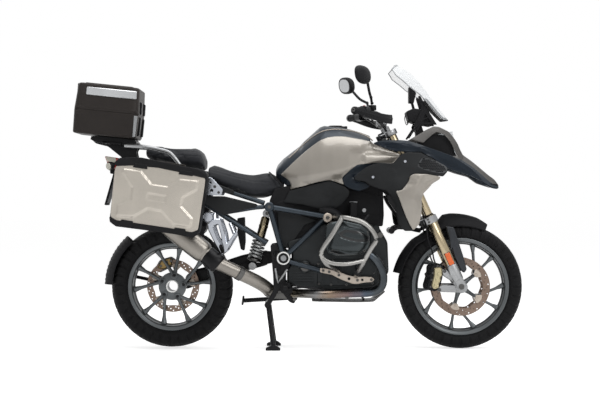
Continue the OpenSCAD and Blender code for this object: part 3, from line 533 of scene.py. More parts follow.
# What a user would change: the colour and the sheen of each finish, in linear light.
looks = {
    "champagne": dict(color=(0.265, 0.243, 0.212), rough=0.38, metal=0.5, mottle=0.05, grain=0.04,
        grainScale=2600, coat=0.6),
    "champagneDark": dict(color=(0.155, 0.135, 0.112), rough=0.36, metal=0.5, mottle=0.05, grain=0.04,
        grainScale=2600, coat=0.5),
    "navy": dict(color=(0.007, 0.012, 0.019), rough=0.3, metal=0.1, mottle=0.1, coat=0.06, specular=0.16),
    "slate": dict(color=(0.018, 0.025, 0.034), rough=0.36, metal=0.3, mottle=0.1, coat=0.1, specular=0.25),
    # used for the piping along the tank and for the pale bead on the side panel's crease, which is a painted
    # highlight
    "piping": dict(color=(0.34, 0.30, 0.26), rough=0.35, metal=0.3, mottle=0.05),
    "taupe": dict(color=(0.070, 0.066, 0.062), rough=0.46, metal=0.3, mottle=0.08, grain=0.08,
        grainScale=1800),
    "blackPlastic": dict(color=(0.008, 0.008, 0.009), rough=0.62, mottle=0.2, grain=0.25, grainScale=900,
        specular=0.16),
    "brownBlack": dict(color=(0.016, 0.017, 0.018), rough=0.56, mottle=0.15, grain=0.25, grainScale=900,
        specular=0.16),
    "blackMetal": dict(color=(0.010, 0.010, 0.011), rough=0.36, metal=0.2, mottle=0.2, grain=0.12,
        grainScale=600, specular=0.16),
    "framePaint": dict(color=(0.024, 0.033, 0.043), rough=0.30, metal=0.55, mottle=0.12, grain=0.06,
        grainScale=900),
    "engineGrey": dict(color=(0.014, 0.016, 0.017), rough=0.38, metal=0.65, mottle=0.15, grain=0.25,
        grainScale=500),
    "headCover": dict(color=(0.032, 0.038, 0.040), rough=0.25, metal=0.75, mottle=0.1, grain=0.1,
        grainScale=700),
    "castAlloy": dict(color=(0.30, 0.305, 0.31), rough=0.36, metal=0.9, mottle=0.12, grain=0.35,
        grainScale=380),
    "beigeAlloy": dict(color=(0.40, 0.35, 0.30), rough=0.42, metal=0.75, mottle=0.1, grain=0.3,
        grainScale=380),
    "polished": dict(color=(0.44, 0.46, 0.50), rough=0.16, metal=1.0, mottle=0.06, roughSwing=0.04),
    "stainless": dict(color=(0.25, 0.245, 0.235), rough=0.27, metal=1.0, mottle=0.08, grain=0.1,
        grainScale=260, stretch=(1, 1, 9)),
    "brushedSteel": dict(color=(0.215, 0.20, 0.18), rough=0.34, metal=0.95, mottle=0.08, grain=0.2,
        grainScale=420, stretch=(0.15, 2, 2), turn=(0, 0.36, 0)),
    "darkSteel": dict(color=(0.090, 0.088, 0.085), rough=0.36, metal=0.9, mottle=0.15, grain=0.2,
        grainScale=300),
    "goldTube": dict(color=(0.36, 0.30, 0.20), rough=0.24, metal=1.0, mottle=0.03, grain=0.02, grainScale=500,
        stretch=(1, 1, 0.1)),
    "goldCaliper": dict(color=(0.42, 0.37, 0.23), rough=0.36, metal=0.85, mottle=0.1, grain=0.2,
        grainScale=500),
    "bronzeCaliper": dict(color=(0.22, 0.15, 0.06), rough=0.4, metal=0.85, mottle=0.15, grain=0.2,
        grainScale=500),
    "wheelGrey": dict(color=(0.090, 0.097, 0.101), rough=0.36, metal=0.75, mottle=0.08, grain=0.12,
        grainScale=700),
    "discBronze": dict(color=(0.17, 0.125, 0.10), rough=0.33, metal=0.9, mottle=0.12, grain=0.15,
        grainScale=900),
    "seatBlack": dict(color=(0.012, 0.013, 0.016), rough=0.55, mottle=0.12, grain=0.5, grainScale=650,
        specular=0.16, sheen=0.15),
    "caseFace": dict(color=(0.45, 0.415, 0.365), rough=0.32, metal=0.6, mottle=0.05, grain=0.05,
        grainScale=1500, coat=0.15),
    "caseBrown": dict(color=(0.026, 0.022, 0.020), rough=0.5, mottle=0.1, grain=0.3, grainScale=1100,
        specular=0.16),
    "silverTrim": dict(color=(0.50, 0.51, 0.52), rough=0.2, metal=0.9, mottle=0.06, grain=0.1, grainScale=500,
        stretch=(0.05, 1, 1)),
    "paleGrey": dict(color=(0.32, 0.33, 0.34), rough=0.45, metal=0.1, mottle=0.08, grain=0.1, grainScale=700),
    "springGrey": dict(color=(0.40, 0.41, 0.41), rough=0.35, metal=0.6, mottle=0.08),
    "blueGrey": dict(color=(0.020, 0.023, 0.028), rough=0.35, metal=0.4, mottle=0.1, grain=0.1,
        grainScale=600),
    "meshGrey": dict(color=(0.055, 0.058, 0.062), rough=0.5, mottle=0.1),
    # painted shade: a glossy near-black used only for the plates over the cylinder heads' pressed-in band and
    # lower facet, standing in for their shade and dark reflections
    "glossBlack": dict(color=(0.010, 0.011, 0.012), rough=0.16, metal=0.1, mottle=0.1, coat=0.4,
        specular=0.3),
    "bright": dict(color=(0.70, 0.70, 0.69), rough=0.28, metal=0.8, mottle=0.05),
    "orange": dict(color=(0.80, 0.13, 0.01), rough=0.22, mottle=0.05, coat=0.6),
    "redLens": dict(color=(0.45, 0.02, 0.015), rough=0.12, mottle=0.1, coat=0.9, coatRough=0.03),
    "amberLens": dict(color=(0.62, 0.60, 0.50), rough=0.14, mottle=0.1, coat=0.9, coatRough=0.03),
    "mirrorGlass": dict(color=(0.5, 0.51, 0.52), rough=0.06, metal=0.9, mottle=0.03, roughSwing=0.02),
}
finishes = {name: finish(name, **look) for name, look in looks.items()}


def rubber():
    # tyre rubber: near black, and duller in patches
    return finish("rubber", (0.0065, 0.0065, 0.0070), rough=0.68, mottle=0.25, mottleScale=14, grain=0.4,
        grainScale=520, specular=0.14)


def heatSteel():
    # header pipes: the colour runs from straw and violet by the engine to plain steel along X
    material = finish("heatSteel", (0.30, 0.24, 0.20), rough=0.28, metal=1.0, mottle=0.1, grain=0.1,
        grainScale=300)
    tree = material.node_tree
    shader = tree.nodes["Principled BSDF"]
    place = addNode(tree, "ShaderNodeTexCoord")
    split = addNode(tree, "ShaderNodeSeparateXYZ", sockets={"Vector": place.outputs["Object"]})
    wobble = addNode(tree, "ShaderNodeTexNoise", sockets={"Vector": place.outputs["Object"], "Scale": 22.0})
    add = addNode(tree, "ShaderNodeMath", operation="MULTIPLY_ADD", sockets={0: wobble.outputs["Fac"],
        1: 0.08, 2: split.outputs["X"]})
    along = addNode(tree, "ShaderNodeMapRange", sockets={"Value": add.outputs["Value"], "From Min": 0.0,
        "From Max": 0.5})
    ramp = addNode(tree, "ShaderNodeValToRGB", sockets={"Fac": along.outputs["Result"]})
    colours = [(0.0, (0.15, 0.13, 0.10)), (0.25, (0.17, 0.17, 0.17)), (0.4, (0.20, 0.15, 0.11)),
        (0.6, (0.14, 0.10, 0.10)), (0.75, (0.06, 0.075, 0.10)), (0.88, (0.055, 0.062, 0.068)),
        (1.0, (0.035, 0.040, 0.045))]
    ramp.color_ramp.elements[0].position = colours[0][0]
    ramp.color_ramp.elements[0].color = (*colours[0][1], 1)
    ramp.color_ramp.elements[1].position = 1.0
    ramp.color_ramp.elements[1].color = (*colours[-1][1], 1)
    for spot, shade in colours[1:-1]:
        ramp.color_ramp.elements.new(spot).color = (*shade, 1)
    tree.links.new(ramp.outputs["Color"], shader.inputs["Base Color"])
    return material


def clearSheet(name, tint, alpha, rough=0.03):
    # thin clear plastic: mostly see-through, with the shader's own gloss on top
    material = finish(name, tint, rough=rough, mottle=0.02, roughSwing=0.01, specular=0.5)
    shader = material.node_tree.nodes["Principled BSDF"]
    shader.inputs["Alpha"].default_value = alpha
    return material


finishes["rubber"] = rubber()
finishes["heatSteel"] = heatSteel()
finishes["screen"] = clearSheet("screen", (0.86, 0.90, 0.93), 0.16)
finishes["lampGlass"] = clearSheet("lampGlass", (0.75, 0.78, 0.80), 0.30)
print("stage: finishes made")

wheelLook = dict(pitches=36, grooveDepth=6.5, rows=1080, cols=44)


def tyreSurface(outer, halfWidth, beadRadius, beadY, lean):
    # closed band: radius and half width follow a rounded arch, less the depth of slanting grooves that
    # repeat round the tyre and of a zigzag groove along its middle
    rows, cols = wheelLook["rows"], wheelLook["cols"]
    around = np.arange(rows)[:, None] * 2 * np.pi / rows
    a = np.radians(np.linspace(-128, 128, cols))[None]
    deep = (outer - beadRadius) / 2
    mid = outer - deep
    across = np.sign(np.sin(a)) * np.abs(np.sin(a))**0.85
    r = mid + deep * np.cos(a)
    # flatten the crown a little, as a wide tread is
    r = np.where(np.cos(a) > 0, mid + deep * np.abs(np.cos(a))**0.72, r)
    phase = wheelLook["pitches"] * around / (2 * np.pi) + lean * np.abs(across) * 1.5 + 0.5 * (across > 0)
    saw = np.abs((phase % 1) - 0.5) * 2
    slant = ease((0.30 - saw) / 0.12)
    sipe = 0.35 * ease((0.06 - np.abs(((phase + 0.5) % 1) - 0.5) * 2) / 0.05)
    middle = ease((0.05 - np.abs(across - 0.06 * np.sin(phase * 2 * np.pi))) / 0.02)
    shoulder = ease((np.abs(across) - 0.10) / 0.05) * ease((np.cos(a) + 0.42) / 0.16)
    groove = np.maximum(np.maximum(slant, sipe) * shoulder, middle) * wheelLook["grooveDepth"]
    ring = 0.9 * ease((0.02 - np.abs(np.cos(a) + 0.42)) / 0.02) - 0.9 * ease((0.03
        - np.abs(np.cos(a) + 0.2)) / 0.02)
    nx, ny = np.cos(a) * (0.3 + 0.7 * (np.cos(a) > -0.2)), np.sin(a)
    r = r - groove * np.maximum(nx, 0.2) + ring * nx
    y = across * halfWidth - groove * ny * 0.75 + ring * ny
    outside = np.stack([r * np.cos(around), y + 0 * around, r * np.sin(around)], -1)
    inner = np.array([[beadRadius + 10, beadY - 2], [beadRadius, beadY - 3], [beadRadius, beadY - 14],
        [beadRadius + 8, 0], [beadRadius, 14 - beadY], [beadRadius, 3 - beadY], [beadRadius + 10, 2 - beadY]])
    inside = np.stack([inner[:, 0] * np.cos(around), inner[:, 1] + 0 * around, inner[:, 0] * np.sin(around)],
        -1)
    return sheet(np.concatenate([outside, inside], 1), 0, wrapRows=True, wrapCols=True)


def rimBand(beadRadius, beadY, sides=160):
    # the rim's cross section turned about the axle: two flanges, two bead seats and a well between them
    r = beadRadius
    outer = [(r - 1, -beadY + 1), (r + 9, -beadY - 1), (r + 12, -beadY - 3.5), (r + 11, -beadY - 6),
        (r + 5, -beadY - 6.5), (r - 1, -beadY - 4), (r - 7, -beadY - 2.5), (r - 12, -beadY + 8),
        (r - 15, -beadY * 0.5), (r - 21, -beadY * 0.22), (r - 22, 0)]
    inner = [(r - 11, 0), (r - 11, -beadY + 20), (r - 3, -beadY + 12)]
    half = np.array(outer)
    loop = np.vstack([half, half[-2::-1] * [1, -1], [(p[0], -p[1]) for p in inner[::-1]], inner[1:]])
    loop = np.vstack([curve(loop[:21], 61), loop[21:]])
    return turnedRing(loop, (0, 0, 0), (0, 1, 0), sides)


def arm(start, end, y, widths, depths, count=9, power=0.6, material=0):
    # a straight or curved cast arm in the wheel's plane, its half width and half depth eased from hub to tip
    t = np.linspace(0, 1, count)
    p = np.array(start)[None] + (np.array(end) - np.array(start))[None] * t[:, None]
    path = np.stack([p[:, 0], y[0] + (y[1] - y[0]) * t, p[:, 1]], -1)
    w = np.interp(t, np.linspace(0, 1, len(widths)), widths)
    d = np.interp(t, np.linspace(0, 1, len(depths)), depths)
    return sweep(path, np.stack([d, w], -1), 16, up=np.cross([0, 1, 0], unit(path[-1] - path[0])),
        power=power, material=material)


def polar(r, degrees):
    a = np.radians(degrees)
    return np.array([r * np.cos(a), r * np.sin(a)])


def discRing(outer, inner, y, thick, tabs, tabAngle, material=0, tabMaterial=1):
    # a flat ring with waves on its inner edge and groups of drilled holes, and a riveted tab at each carrier
    a = np.arange(180) * 2 * np.pi / 180
    wave = inner + 2.5 * np.cos(a * tabs * 2)
    rings = [np.stack([wave * np.cos(a), wave * np.sin(a)], -1)]
    holes = np.arange(tabs * 11)
    at = np.radians(tabAngle + holes * 360 / (tabs * 11))
    radius = inner + (outer - inner) * (0.26 + 0.25 * (holes % 3))
    rings += [round2(radius[k] * np.cos(at[k]), radius[k] * np.sin(at[k]), 3.4, 10) for k in holes]
    parts = [plate(outer * circle(160), y - thick / 2, y + thick / 2, 0.6, material, rings)]
    for k in range(tabs):
        centre = tabAngle + k * 360 / tabs
        tip = [polar(inner - 22, centre - 6), polar(inner - 22, centre + 6), polar(inner + 5, centre + 13),
               polar(inner + 12, centre + 5), polar(inner + 12, centre - 5), polar(inner + 5, centre - 13)]
        parts.append(slab(tip, 7, y - thick / 2 - 1.2, y + thick / 2 + 1.2, 0.8, tabMaterial, steps=5))
        c = polar(inner - 12, centre)
        for side in (-1, 1):
            parts.append(bolt((c[0], y + side * (thick / 2 + 1), c[1]), (0, side, 0), 8, 4, tabMaterial))
    return parts


def frontWheel():
    hub, corner, rim = 34, 104, 226
    parts = [rimBand(242, 40)]
    hubProfile = [(12.6, -65), (26, -65), (30, -62), (33, -52), (36, -30), (37, 0), (36, 30), (33, 52),
        (30, 62), (26, 65), (12.6, 65)]
    parts.append(turnedRing(hubProfile, (0, 0, 0), (0, 1, 0), 64))
    for k in range(5):
        base = 38 - 72 * k
        parts.append(arm(polar(hub - 6, base), polar(corner, base), (0, 0), (15, 10.5, 9, 12),
            (30, 22, 16, 15)))
        for turn in (4, 35):
            parts.append(arm(polar(corner - 5, base), polar(rim, base + turn), (0, 0), (10, 7.5, 7, 8, 15),
                (15, 13, 12, 12, 20), 13))
        for side in (-1, 1):
            c = polar(98, base)
            parts.append(turned([(9, 0), (12, 4), (9.5, 46), (9.5, 62)], (c[0], 0, c[1]), (0, side, 0), 24))
    return [moved(p, shift=frontAxle) for p in parts]


def rearWheel():
    parts = [rimBand(217, 60)]
    parts.append(turnedRing([(26.2, -28), (50, -28), (70, -22), (73, -12), (66, 14), (58, 22), (26.2, 22)],
        (0, 0, 0), (0, 1, 0), 80))
    for k in range(5):
        base = 81 - 72 * k
        for turn in (-2, 32):
            parts.append(arm(polar(56, base), polar(199, base + turn), (-10, -4), (13, 9, 8, 9, 16),
                (17, 14, 13, 13, 26), 13))
        c = polar(58, base)
        parts.append(turned([(19, 4), (21, 0), (20, -22), (17, -31), (13.5, -32), (13.5, -24), (0, -24)],
            (c[0], 0, c[1]), (0, 1, 0), 32))
        parts.append(turned([(9, -24), (9, -27.5), (0, -27.5)], (c[0], 0, c[1]), (0, 1, 0), 6, 1))
    parts.append(turnedRing([(26.2, -27), (26.2, -36), (31, -36), (34, -33), (34, -24), (26.2, -24)],
        (0, 0, 0), (0, 1, 0), 64, 2))
    parts.append(turnedRing([(26.2, 20), (26.2, 120), (43.9, 120), (43.9, 20)], (0, 0, 0), (0, 1, 0), 64, 1))
    return [moved(p, shift=rearAxle) for p in parts]


makePiece("frontRim", "front_wheel", frontWheel(), "wheelGrey", ["front_rim"])
makePiece("rearRim", "rear_wheel", rearWheel(), "wheelGrey blackMetal bright", ["rear_rim"])
makePiece("frontTyre", "front_wheel", [moved(tyreSurface(325, 60, 243, 41, 0.35),
    shift=frontAxle)], "rubber", ["front_tyre"], smooth=50)
makePiece("rearTyre", "rear_wheel", [moved(tyreSurface(317, 84, 218, 61, 0.5),
    shift=rearAxle)], "rubber", ["rear_tyre"], smooth=50)
discs = [moved(p, shift=frontAxle) for y in (-69, 69) for p in discRing(151.5, 113, y, 4.6, 5, 38)]
makePiece("frontDiscs", "front_wheel", discs, "discBronze beigeAlloy", ["front_discs"])
discs = [moved(p, shift=rearAxle) for p in discRing(137.5, 104, 38, 4.6, 5, 81)]
discs.append(moved(turnedRing(box(44.2, 58, 34, 41), (0, 0, 0), (0, 1, 0), 60, 2), shift=rearAxle))
for k in range(5):
    discs.append(moved(arm(polar(54, 81 + 72 * k), polar(92, 81 + 72 * k), (37.5, 37.5), (12, 9), (3.4, 3.4),
        material=2), shift=rearAxle))
makePiece("rearDisc", "rear_wheel", discs, "discBronze beigeAlloy blackMetal", ["rear_disc"])
print("stage: wheels made")

tankLook = dict(
    top=[(-120, 926), (-108, 959), (-78, 992), (-31, 1029), (7, 1057), (30, 1083), (77, 1125), (114, 1158),
        (136, 1166), (208, 1166), (264, 1149), (321, 1133), (372, 1114), (391, 1092), (430, 1076),
        (480, 1058), (540, 1030)],
    halfWidth=[(-120, 56), (-90, 84), (-60, 106), (0, 136), (60, 164), (124, 184), (180, 196), (260, 202),
        (330, 200), (372, 192), (430, 182), (480, 170), (540, 156)],
    widest=[(-120, 912), (0, 900), (60, 905), (180, 925), (300, 952), (372, 975), (540, 1002)],
    side=[(-92, 908), (-53, 946), (-7, 990), (39, 1031), (85, 1066), (117, 1088), (154, 1102), (195, 1107),
        (241, 1106), (292, 1097), (342, 1088), (379, 1079), (392, 1067), (429, 1052), (475, 1031),
        (512, 1020), (528, 1012), (512, 990), (490, 966), (448, 968), (397, 969), (351, 963), (303, 958),
        (269, 931), (243, 908), (226, 890), (236, 855), (195, 869), (162, 880), (103, 869), (39, 852),
        (-44, 830), (-36, 854), (-46, 875), (-67, 893)],
    creaseA=[(16, 873), (131, 898), (218, 913), (296, 969), (335, 1024)],
    creaseB=[(335, 1031), (443, 1024), (526, 1015)],
    piping=[(-48, 996), (-30, 1012), (7, 1047), (48, 1084), (76, 1106), (113, 1128), (150, 1140), (206, 1144),
        (271, 1137), (317, 1126), (363, 1105), (387, 1084)])


def table(x, rows):
    # a value read off a list of pairs by straight lines between them
    r = np.asarray(rows, float)
    return np.interp(x, r[:, 0], r[:, 1])


def tankDepth(xz):
    # half width times (1 - u^2.3)^(1/2.3), u the share of the way from the widest line up to the top;
    # below that line the side tucks in by a third of the drop
    x, z = xz[:, 0], xz[:, 1]
    w, zw, zt = table(x, tankLook["halfWidth"]), table(x, tankLook["widest"]), table(x, tankLook["top"])
    u = np.clip((z - zw) / (zt - zw), 0, 0.985)
    return w * (1 - u**2.3)**(1 / 2.3) - np.maximum(zw - z, 0) * 0.33


def tankCore():
    # sections across the tank on the same rule as tankDepth, closed below; the crown sinks round the filler
    x = np.linspace(-116, 374, 90)
    a = np.linspace(0, np.pi, 61)
    w, zw, zt = table(x, tankLook["halfWidth"]) - 3, table(x, tankLook["widest"]), table(x, tankLook["top"])
    y = w[:, None] * np.sign(np.cos(a)) * np.abs(np.cos(a))**(2 / 2.3)
    z = zw[:, None] + (zt - zw)[:, None] * np.abs(np.sin(a))**(2 / 2.3)
    z = z - 12 * ease((64 - np.hypot(x[:, None] - 200, y)) / 12)
    low = np.linspace(0, 1, 12)[1:]
    yl = -w[:, None] * (1 - 0.25 * low)
    zl = zw[:, None] - low * (zw - table(x, [(-116, 900), (-60, 850), (396, 880)]))[:, None]
    gy = np.concatenate([y, yl, -yl[:, ::-1]], 1)
    gz = np.concatenate([z, zl, zl[:, ::-1]], 1)
    g = np.stack([np.broadcast_to(x[:, None], gy.shape), gy, gz], -1)
    return capped(g)


def crease(polygon, slope, limit):
    # how far a relief has sunk at each spot: a slope times the distance inside a polygon, up to a limit
    poly = np.asarray(polygon, float)
    return lambda xz: -slope * np.clip(edgeDistance(xz, poly), 0, limit)


def addUp(*reliefs):
    return lambda xz: sum(r(xz) for r in reliefs)


def raised(polygon, height, blend=4):
    # a flat area lifted by height, its edge eased over a blend
    poly = np.asarray(polygon, float)
    return lambda xz: height * ease(edgeDistance(xz, poly) / blend + 0.5)


def onSide(line, depth, lift=0.0):
    # an x, z line laid on a panel of the right side
    line = np.asarray(line, float)
    return np.stack([line[:, 0], -(depth(line) + lift), line[:, 1]], -1)


tankParts = [tankCore()]
creased = crease([(16, 873), (131, 898), (218, 913), (296, 969), (335, 1024), (352, 968), (303, 950),
    (226, 840), (60, 830), (10, 846)], 0.42, 26)
channel = crease([(335, 1031), (443, 1027), (526, 1016), (520, 1000), (448, 1010), (345, 1010)], 0.5, 7)
sidePanel = skin(soft(tankLook["side"], 8), lambda q: tankDepth(q) + 4, 5, 3.5, 9,
    [tankLook["creaseA"], tankLook["creaseB"]], relief=addUp(creased, channel), material=1)
tankParts += bothSides([sidePanel])
pipe = curve(tankLook["piping"], 60)
tankParts += bothSides([sweep(onSide(pipe, tankDepth, 0.5), 3.2, 10, material=2, up=(0, 1, 0))])
# a painted highlight: a thin pale bead on the crease along the side panel's upper border, standing in for the
# light its edge catches
tankParts += bothSides([sweep(onSide(curve(tankLook["creaseB"], 30), tankDepth, 2.5), 1.6, 8, material=2,
    up=(0, 1, 0))])
tankParts.append(turnedRing([(62, -10), (62, -1), (60, 1), (52, 1), (50, -2), (50, -10)], (196, 0, 1155),
    (0, 0, 1), 64, 3))
makePiece("tank", "chassis", tankParts, "slate champagne piping blackMetal", ["fuel_tank"])
makePiece("tankFillerSeat", "chassis", [turned(box(0, 45, -40, -0.6), (196, 0, 1155), (0, 0, 1),
    48), turned(box(0, 2.9, 0, 50), (254, -25, 1159), (0, 1, 0), 16)], "blackMetal")
capParts = [turned([(0, 0), (42, 0), (44, 2), (44, 7), (42, 9), (34, 10), (33, 12), (31, 12), (30, 10.5),
    (0, 10.5)], (196, 0, 1155), (0, 0, 1), 64), plate([(232, 1155), (232, 1162), (248, 1164), (256, 1164),
    (259, 1159), (256, 1155)], -14, 14, 1), turned([(0, 10), (7, 10), (7, 12.5), (5, 13), (0, 12.6)],
    (196, 0, 1155), (0, 0, 1), 24, 1)]
makePiece("fillerCap", "fuel_cap", capParts, "blackMetal stainless", ["fuel_cap"])

# side panels: what lies below and ahead of the tank on each side
sideLook = dict(
    under=[(-45, 824), (39, 847), (103, 863), (162, 876), (197, 863), (239, 846), (264, 824), (260, 797),
        (223, 749), (197, 735), (112, 732), (21, 753), (-76, 765)],
    duct=[(226, 888), (245, 908), (270, 929), (302, 955), (341, 961), (313, 923), (290, 900), (288, 890),
        (297, 874), (341, 868), (368, 849), (352, 836), (313, 822), (286, 829), (258, 840), (238, 853)],
    flank=[(287, 892), (312, 917), (344, 942), (376, 958), (408, 966), (449, 966), (487, 964), (525, 1010),
        (559, 1021), (627, 1019), (686, 989), (755, 946), (767, 934), (767, 922), (744, 897), (659, 910),
        (595, 911), (570, 899), (566, 876), (545, 843), (527, 828), (510, 795), (549, 691), (588, 620),
        (583, 618), (546, 618), (511, 652), (495, 760), (472, 801), (449, 826), (417, 833), (372, 851),
        (340, 872), (294, 879)],
    flankCrease=[(367, 960), (436, 972), (504, 956), (595, 942), (659, 928), (746, 915)],
    grille=[(637, 997), (660, 993), (715, 974), (756, 952), (766, 938), (760, 926), (747, 914), (706, 917),
        (642, 933), (610, 947), (614, 965)])
flankDepth = throughSamples([(287, 892, 206), (344, 942, 214), (376, 958, 218), (449, 966, 226),
    (525, 1010, 236), (627, 1019, 236), (686, 989, 232), (755, 946, 214), (767, 930, 208), (744, 897, 216),
    (659, 910, 246), (595, 911, 254), (570, 876, 262), (545, 843, 268), (510, 795, 266), (549, 691, 258),
    (588, 620, 244), (546, 618, 238), (511, 652, 236), (495, 760, 242), (449, 826, 240), (372, 851, 222),
    (294, 879, 204), (436, 920, 234), (500, 900, 252), (420, 870, 240)])
underDepth = throughSamples([(-45, 824, 110), (39, 847, 134), (103, 863, 152), (162, 876, 168),
    (239, 846, 178), (264, 824, 180), (223, 749, 150), (112, 732, 134), (21, 753, 128), (-76, 765, 108),
    (90, 800, 156)])
ductDepth = throughSamples([(226, 888, 176), (270, 929, 182), (341, 961, 190), (290, 900, 170),
    (341, 868, 186), (368, 849, 196), (313, 822, 184), (238, 853, 172), (290, 850, 186)])
roundSpot = round2(467, 903, 36, 40)
flankRelief = addUp(crease([(367, 958), (436, 972), (504, 956), (595, 942), (659, 928), (746, 915),
    (740, 895), (600, 905), (560, 860), (480, 820), (300, 870), (330, 920)], 0.10, 60),
    raised(roundSpot, 2.2, 3))
flank = skin(soft(sideLook["flank"], 7), flankDepth, 5, 3.5, 9, [sideLook["flankCrease"], roundSpot],
    holes=[soft(sideLook["grille"], 6, 3)], relief=flankRelief)
under = skin(soft(sideLook["under"], 8), underDepth, 5, 3, 9, material=0,
    relief=addUp(raised([(112, 831), (177, 804), (193, 797), (172, 781), (149, 759), (140, 772), (165, 792),
    (120, 812)], 1.6, 3), crease([(-60, 800), (60, 820), (160, 850), (230, 800), (200, 752), (60, 768)], 0.18,
    30)))
duct = skin(soft(sideLook["duct"], 6), ductDepth, 5, 3, 8, material=2)
battery = slab([(-106, 721), (-38, 715), (96, 670), (35, 648), (-5, 592), (-38, 541), (-55, 525),
    (-100, 541)], 8, -112, -98, 2)
grilleBase = np.array(sideLook["grille"], float)
grilleBack = plate(grilleBase, -flankDepth(grilleBase).mean() + 16, -flankDepth(grilleBase).mean() + 19, 0.5,
    1)
screws = []
for x, z in ((547, 974), (383, 894)):
    y = float(flankDepth(np.array([[x, z]]))[0])
    screws.append(bolt((x, -y + 1, z), (0.1, -1, 0.05), 8, 6, 3))


def honeycomb(outline, depth, size=9.5, material=1):
    # hexagonal cells cut in a sheet behind the opening, their centres on a triangular lattice
    poly = np.asarray(outline, float)
    gx, gz = np.meshgrid(np.arange(poly[:, 0].min(), poly[:, 0].max(), size * 1.0),
        np.arange(poly[:, 1].min(), poly[:, 1].max(), size * 0.87))
    gx = gx + (np.arange(len(gx)) % 2)[:, None] * size / 2
    at = np.stack([gx.ravel(), gz.ravel()], -1)
    at = at[edgeDistance(at, poly) > size * 0.56]
    hexagon = size * 0.47 * np.stack([np.cos(np.radians(np.arange(6) * 60 + 30)),
        np.sin(np.radians(np.arange(6) * 60 + 30))], -1)
    y = float(depth(poly).mean())
    return plate(poly, -y + 5, -y + 9, 0.4, material, [c + hexagon for c in at])


grille = honeycomb(soft(sideLook["grille"], 6, 3), flankDepth, material=4)
makePiece("sidePanels", "chassis", bothSides([flank, under, duct, battery, grilleBack,
    grille] + screws), "brownBlack blackPlastic navy polished meshGrey", ["side_panels"])

# radiator shrouds
shroudLook = dict(
    outline=[(569, 889), (571, 901), (594, 911), (657, 909), (727, 897), (726, 885), (712, 876), (685, 860),
        (666, 837), (639, 810), (630, 777), (632, 740), (627, 690), (619, 655), (600, 632), (588, 621),
        (570, 650), (549, 691), (528, 745), (510, 795), (497, 822), (529, 828), (560, 866)])
shroudDepth = throughSamples([(569, 889, 282), (657, 909, 276), (727, 897, 250), (712, 876, 254),
    (685, 860, 262), (666, 837, 264), (639, 810, 266), (630, 777, 268), (632, 740, 266), (627, 690, 260),
    (619, 655, 256), (588, 621, 252), (549, 691, 270), (510, 795, 282), (490, 826, 284), (529, 828, 288),
    (600, 860, 290), (590, 780, 288), (590, 700, 276)])
facet = crease([(569, 892), (621, 864), (548, 823), (500, 810), (520, 880)], 0.42, 24)
shroudRelief = addUp(facet, crease([(640, 905), (730, 900), (700, 870), (640, 815), (625, 660), (590, 622),
    (598, 700), (606, 800), (618, 862)], 0.30, 26))
shroud = skin(soft(shroudLook["outline"], 7), shroudDepth, 5, 3.5, 8,
    [[(569, 889), (621, 864), (548, 823)], [(640, 900), (618, 862), (606, 800), (598, 700)]],
    relief=shroudRelief, holes=[round2(610, 890, 8, 20), round2(539, 804, 8, 20)])
cups = []
for x, z in ((610, 890), (539, 804)):
    y = float(shroudDepth(np.array([[x, z]]))[0])
    cups.append(turned([(8.6, 0), (8.2, -9), (0, -9), (0, -11), (10, -11), (10, -1)], (x, -y, z), (0, -1, 0),
        24, 0))
    cups.append(bolt((x, -y + 6, z), (0, -1, 0), 7, 5, 2))
lip = plate([(590, 640), (626, 700), (628, 780), (600, 820), (560, 800), (560, 700)], -250, -244, 1, 1)
makePiece("radiatorShrouds", "chassis", bothSides([shroud, lip] + cups),
    "champagne blackPlastic bright", ["radiator_shrouds"])

# upper cowls: the long navy blade, the grey arch above it, and the beak
cowlLook = dict(
    blade=[(386, 1070), (420, 1083), (521, 1086), (572, 1081), (618, 1067), (664, 1049), (737, 1026),
        (801, 1003), (852, 973), (903, 939), (939, 909), (962, 884), (953, 877), (898, 901), (834, 920),
        (774, 938), (760, 947), (691, 992), (631, 1023), (563, 1025), (507, 1026), (452, 1042)],
    bladeCrease=[(440, 1066), (521, 1067), (627, 1049), (765, 985), (898, 913)],
    arch=[(579, 1090), (611, 1109), (658, 1138), (701, 1158), (727, 1156), (778, 1132), (805, 1101),
        (826, 1069), (838, 1041), (859, 1003), (854, 980), (833, 995), (805, 1041), (787, 1078), (755, 1115),
        (715, 1129), (695, 1116), (667, 1092), (644, 1070), (616, 1078)])
bladeDepth = throughSamples([(386, 1070, 182), (420, 1083, 176), (521, 1086, 188), (618, 1067, 196),
    (737, 1026, 176), (801, 1003, 150), (852, 973, 122), (903, 939, 96), (962, 884, 66), (898, 901, 110),
    (834, 920, 150), (774, 938, 184), (760, 947, 192), (691, 992, 214), (631, 1023, 222), (563, 1025, 220),
    (507, 1026, 210), (452, 1042, 198), (627, 1049, 216), (765, 985, 180), (521, 1067, 206), (898, 918, 100)])
archDepth = throughSamples([(579, 1090, 150), (611, 1109, 148), (658, 1138, 144), (714, 1158, 138),
    (778, 1132, 134), (826, 1069, 130), (860, 1003, 112), (833, 995, 128), (787, 1078, 146), (715, 1129, 156),
    (667, 1092, 166), (644, 1070, 172), (616, 1078, 164)])
bladeRelief = crease([(440, 1066), (521, 1067), (627, 1049), (765, 985), (898, 913), (900, 896), (770, 930),
    (690, 985), (560, 1015), (440, 1035)], 0.38, 20)
blade = skin(soft(cowlLook["blade"], 6), bladeDepth, 5, 3, 8, [cowlLook["bladeCrease"]], relief=bladeRelief)
arch = skin(soft(cowlLook["arch"], 8), archDepth, 5, 4, 7, material=1)
makePiece("upperCowls", "chassis", bothSides([blade]), "navy taupe", ["upper_cowls"])


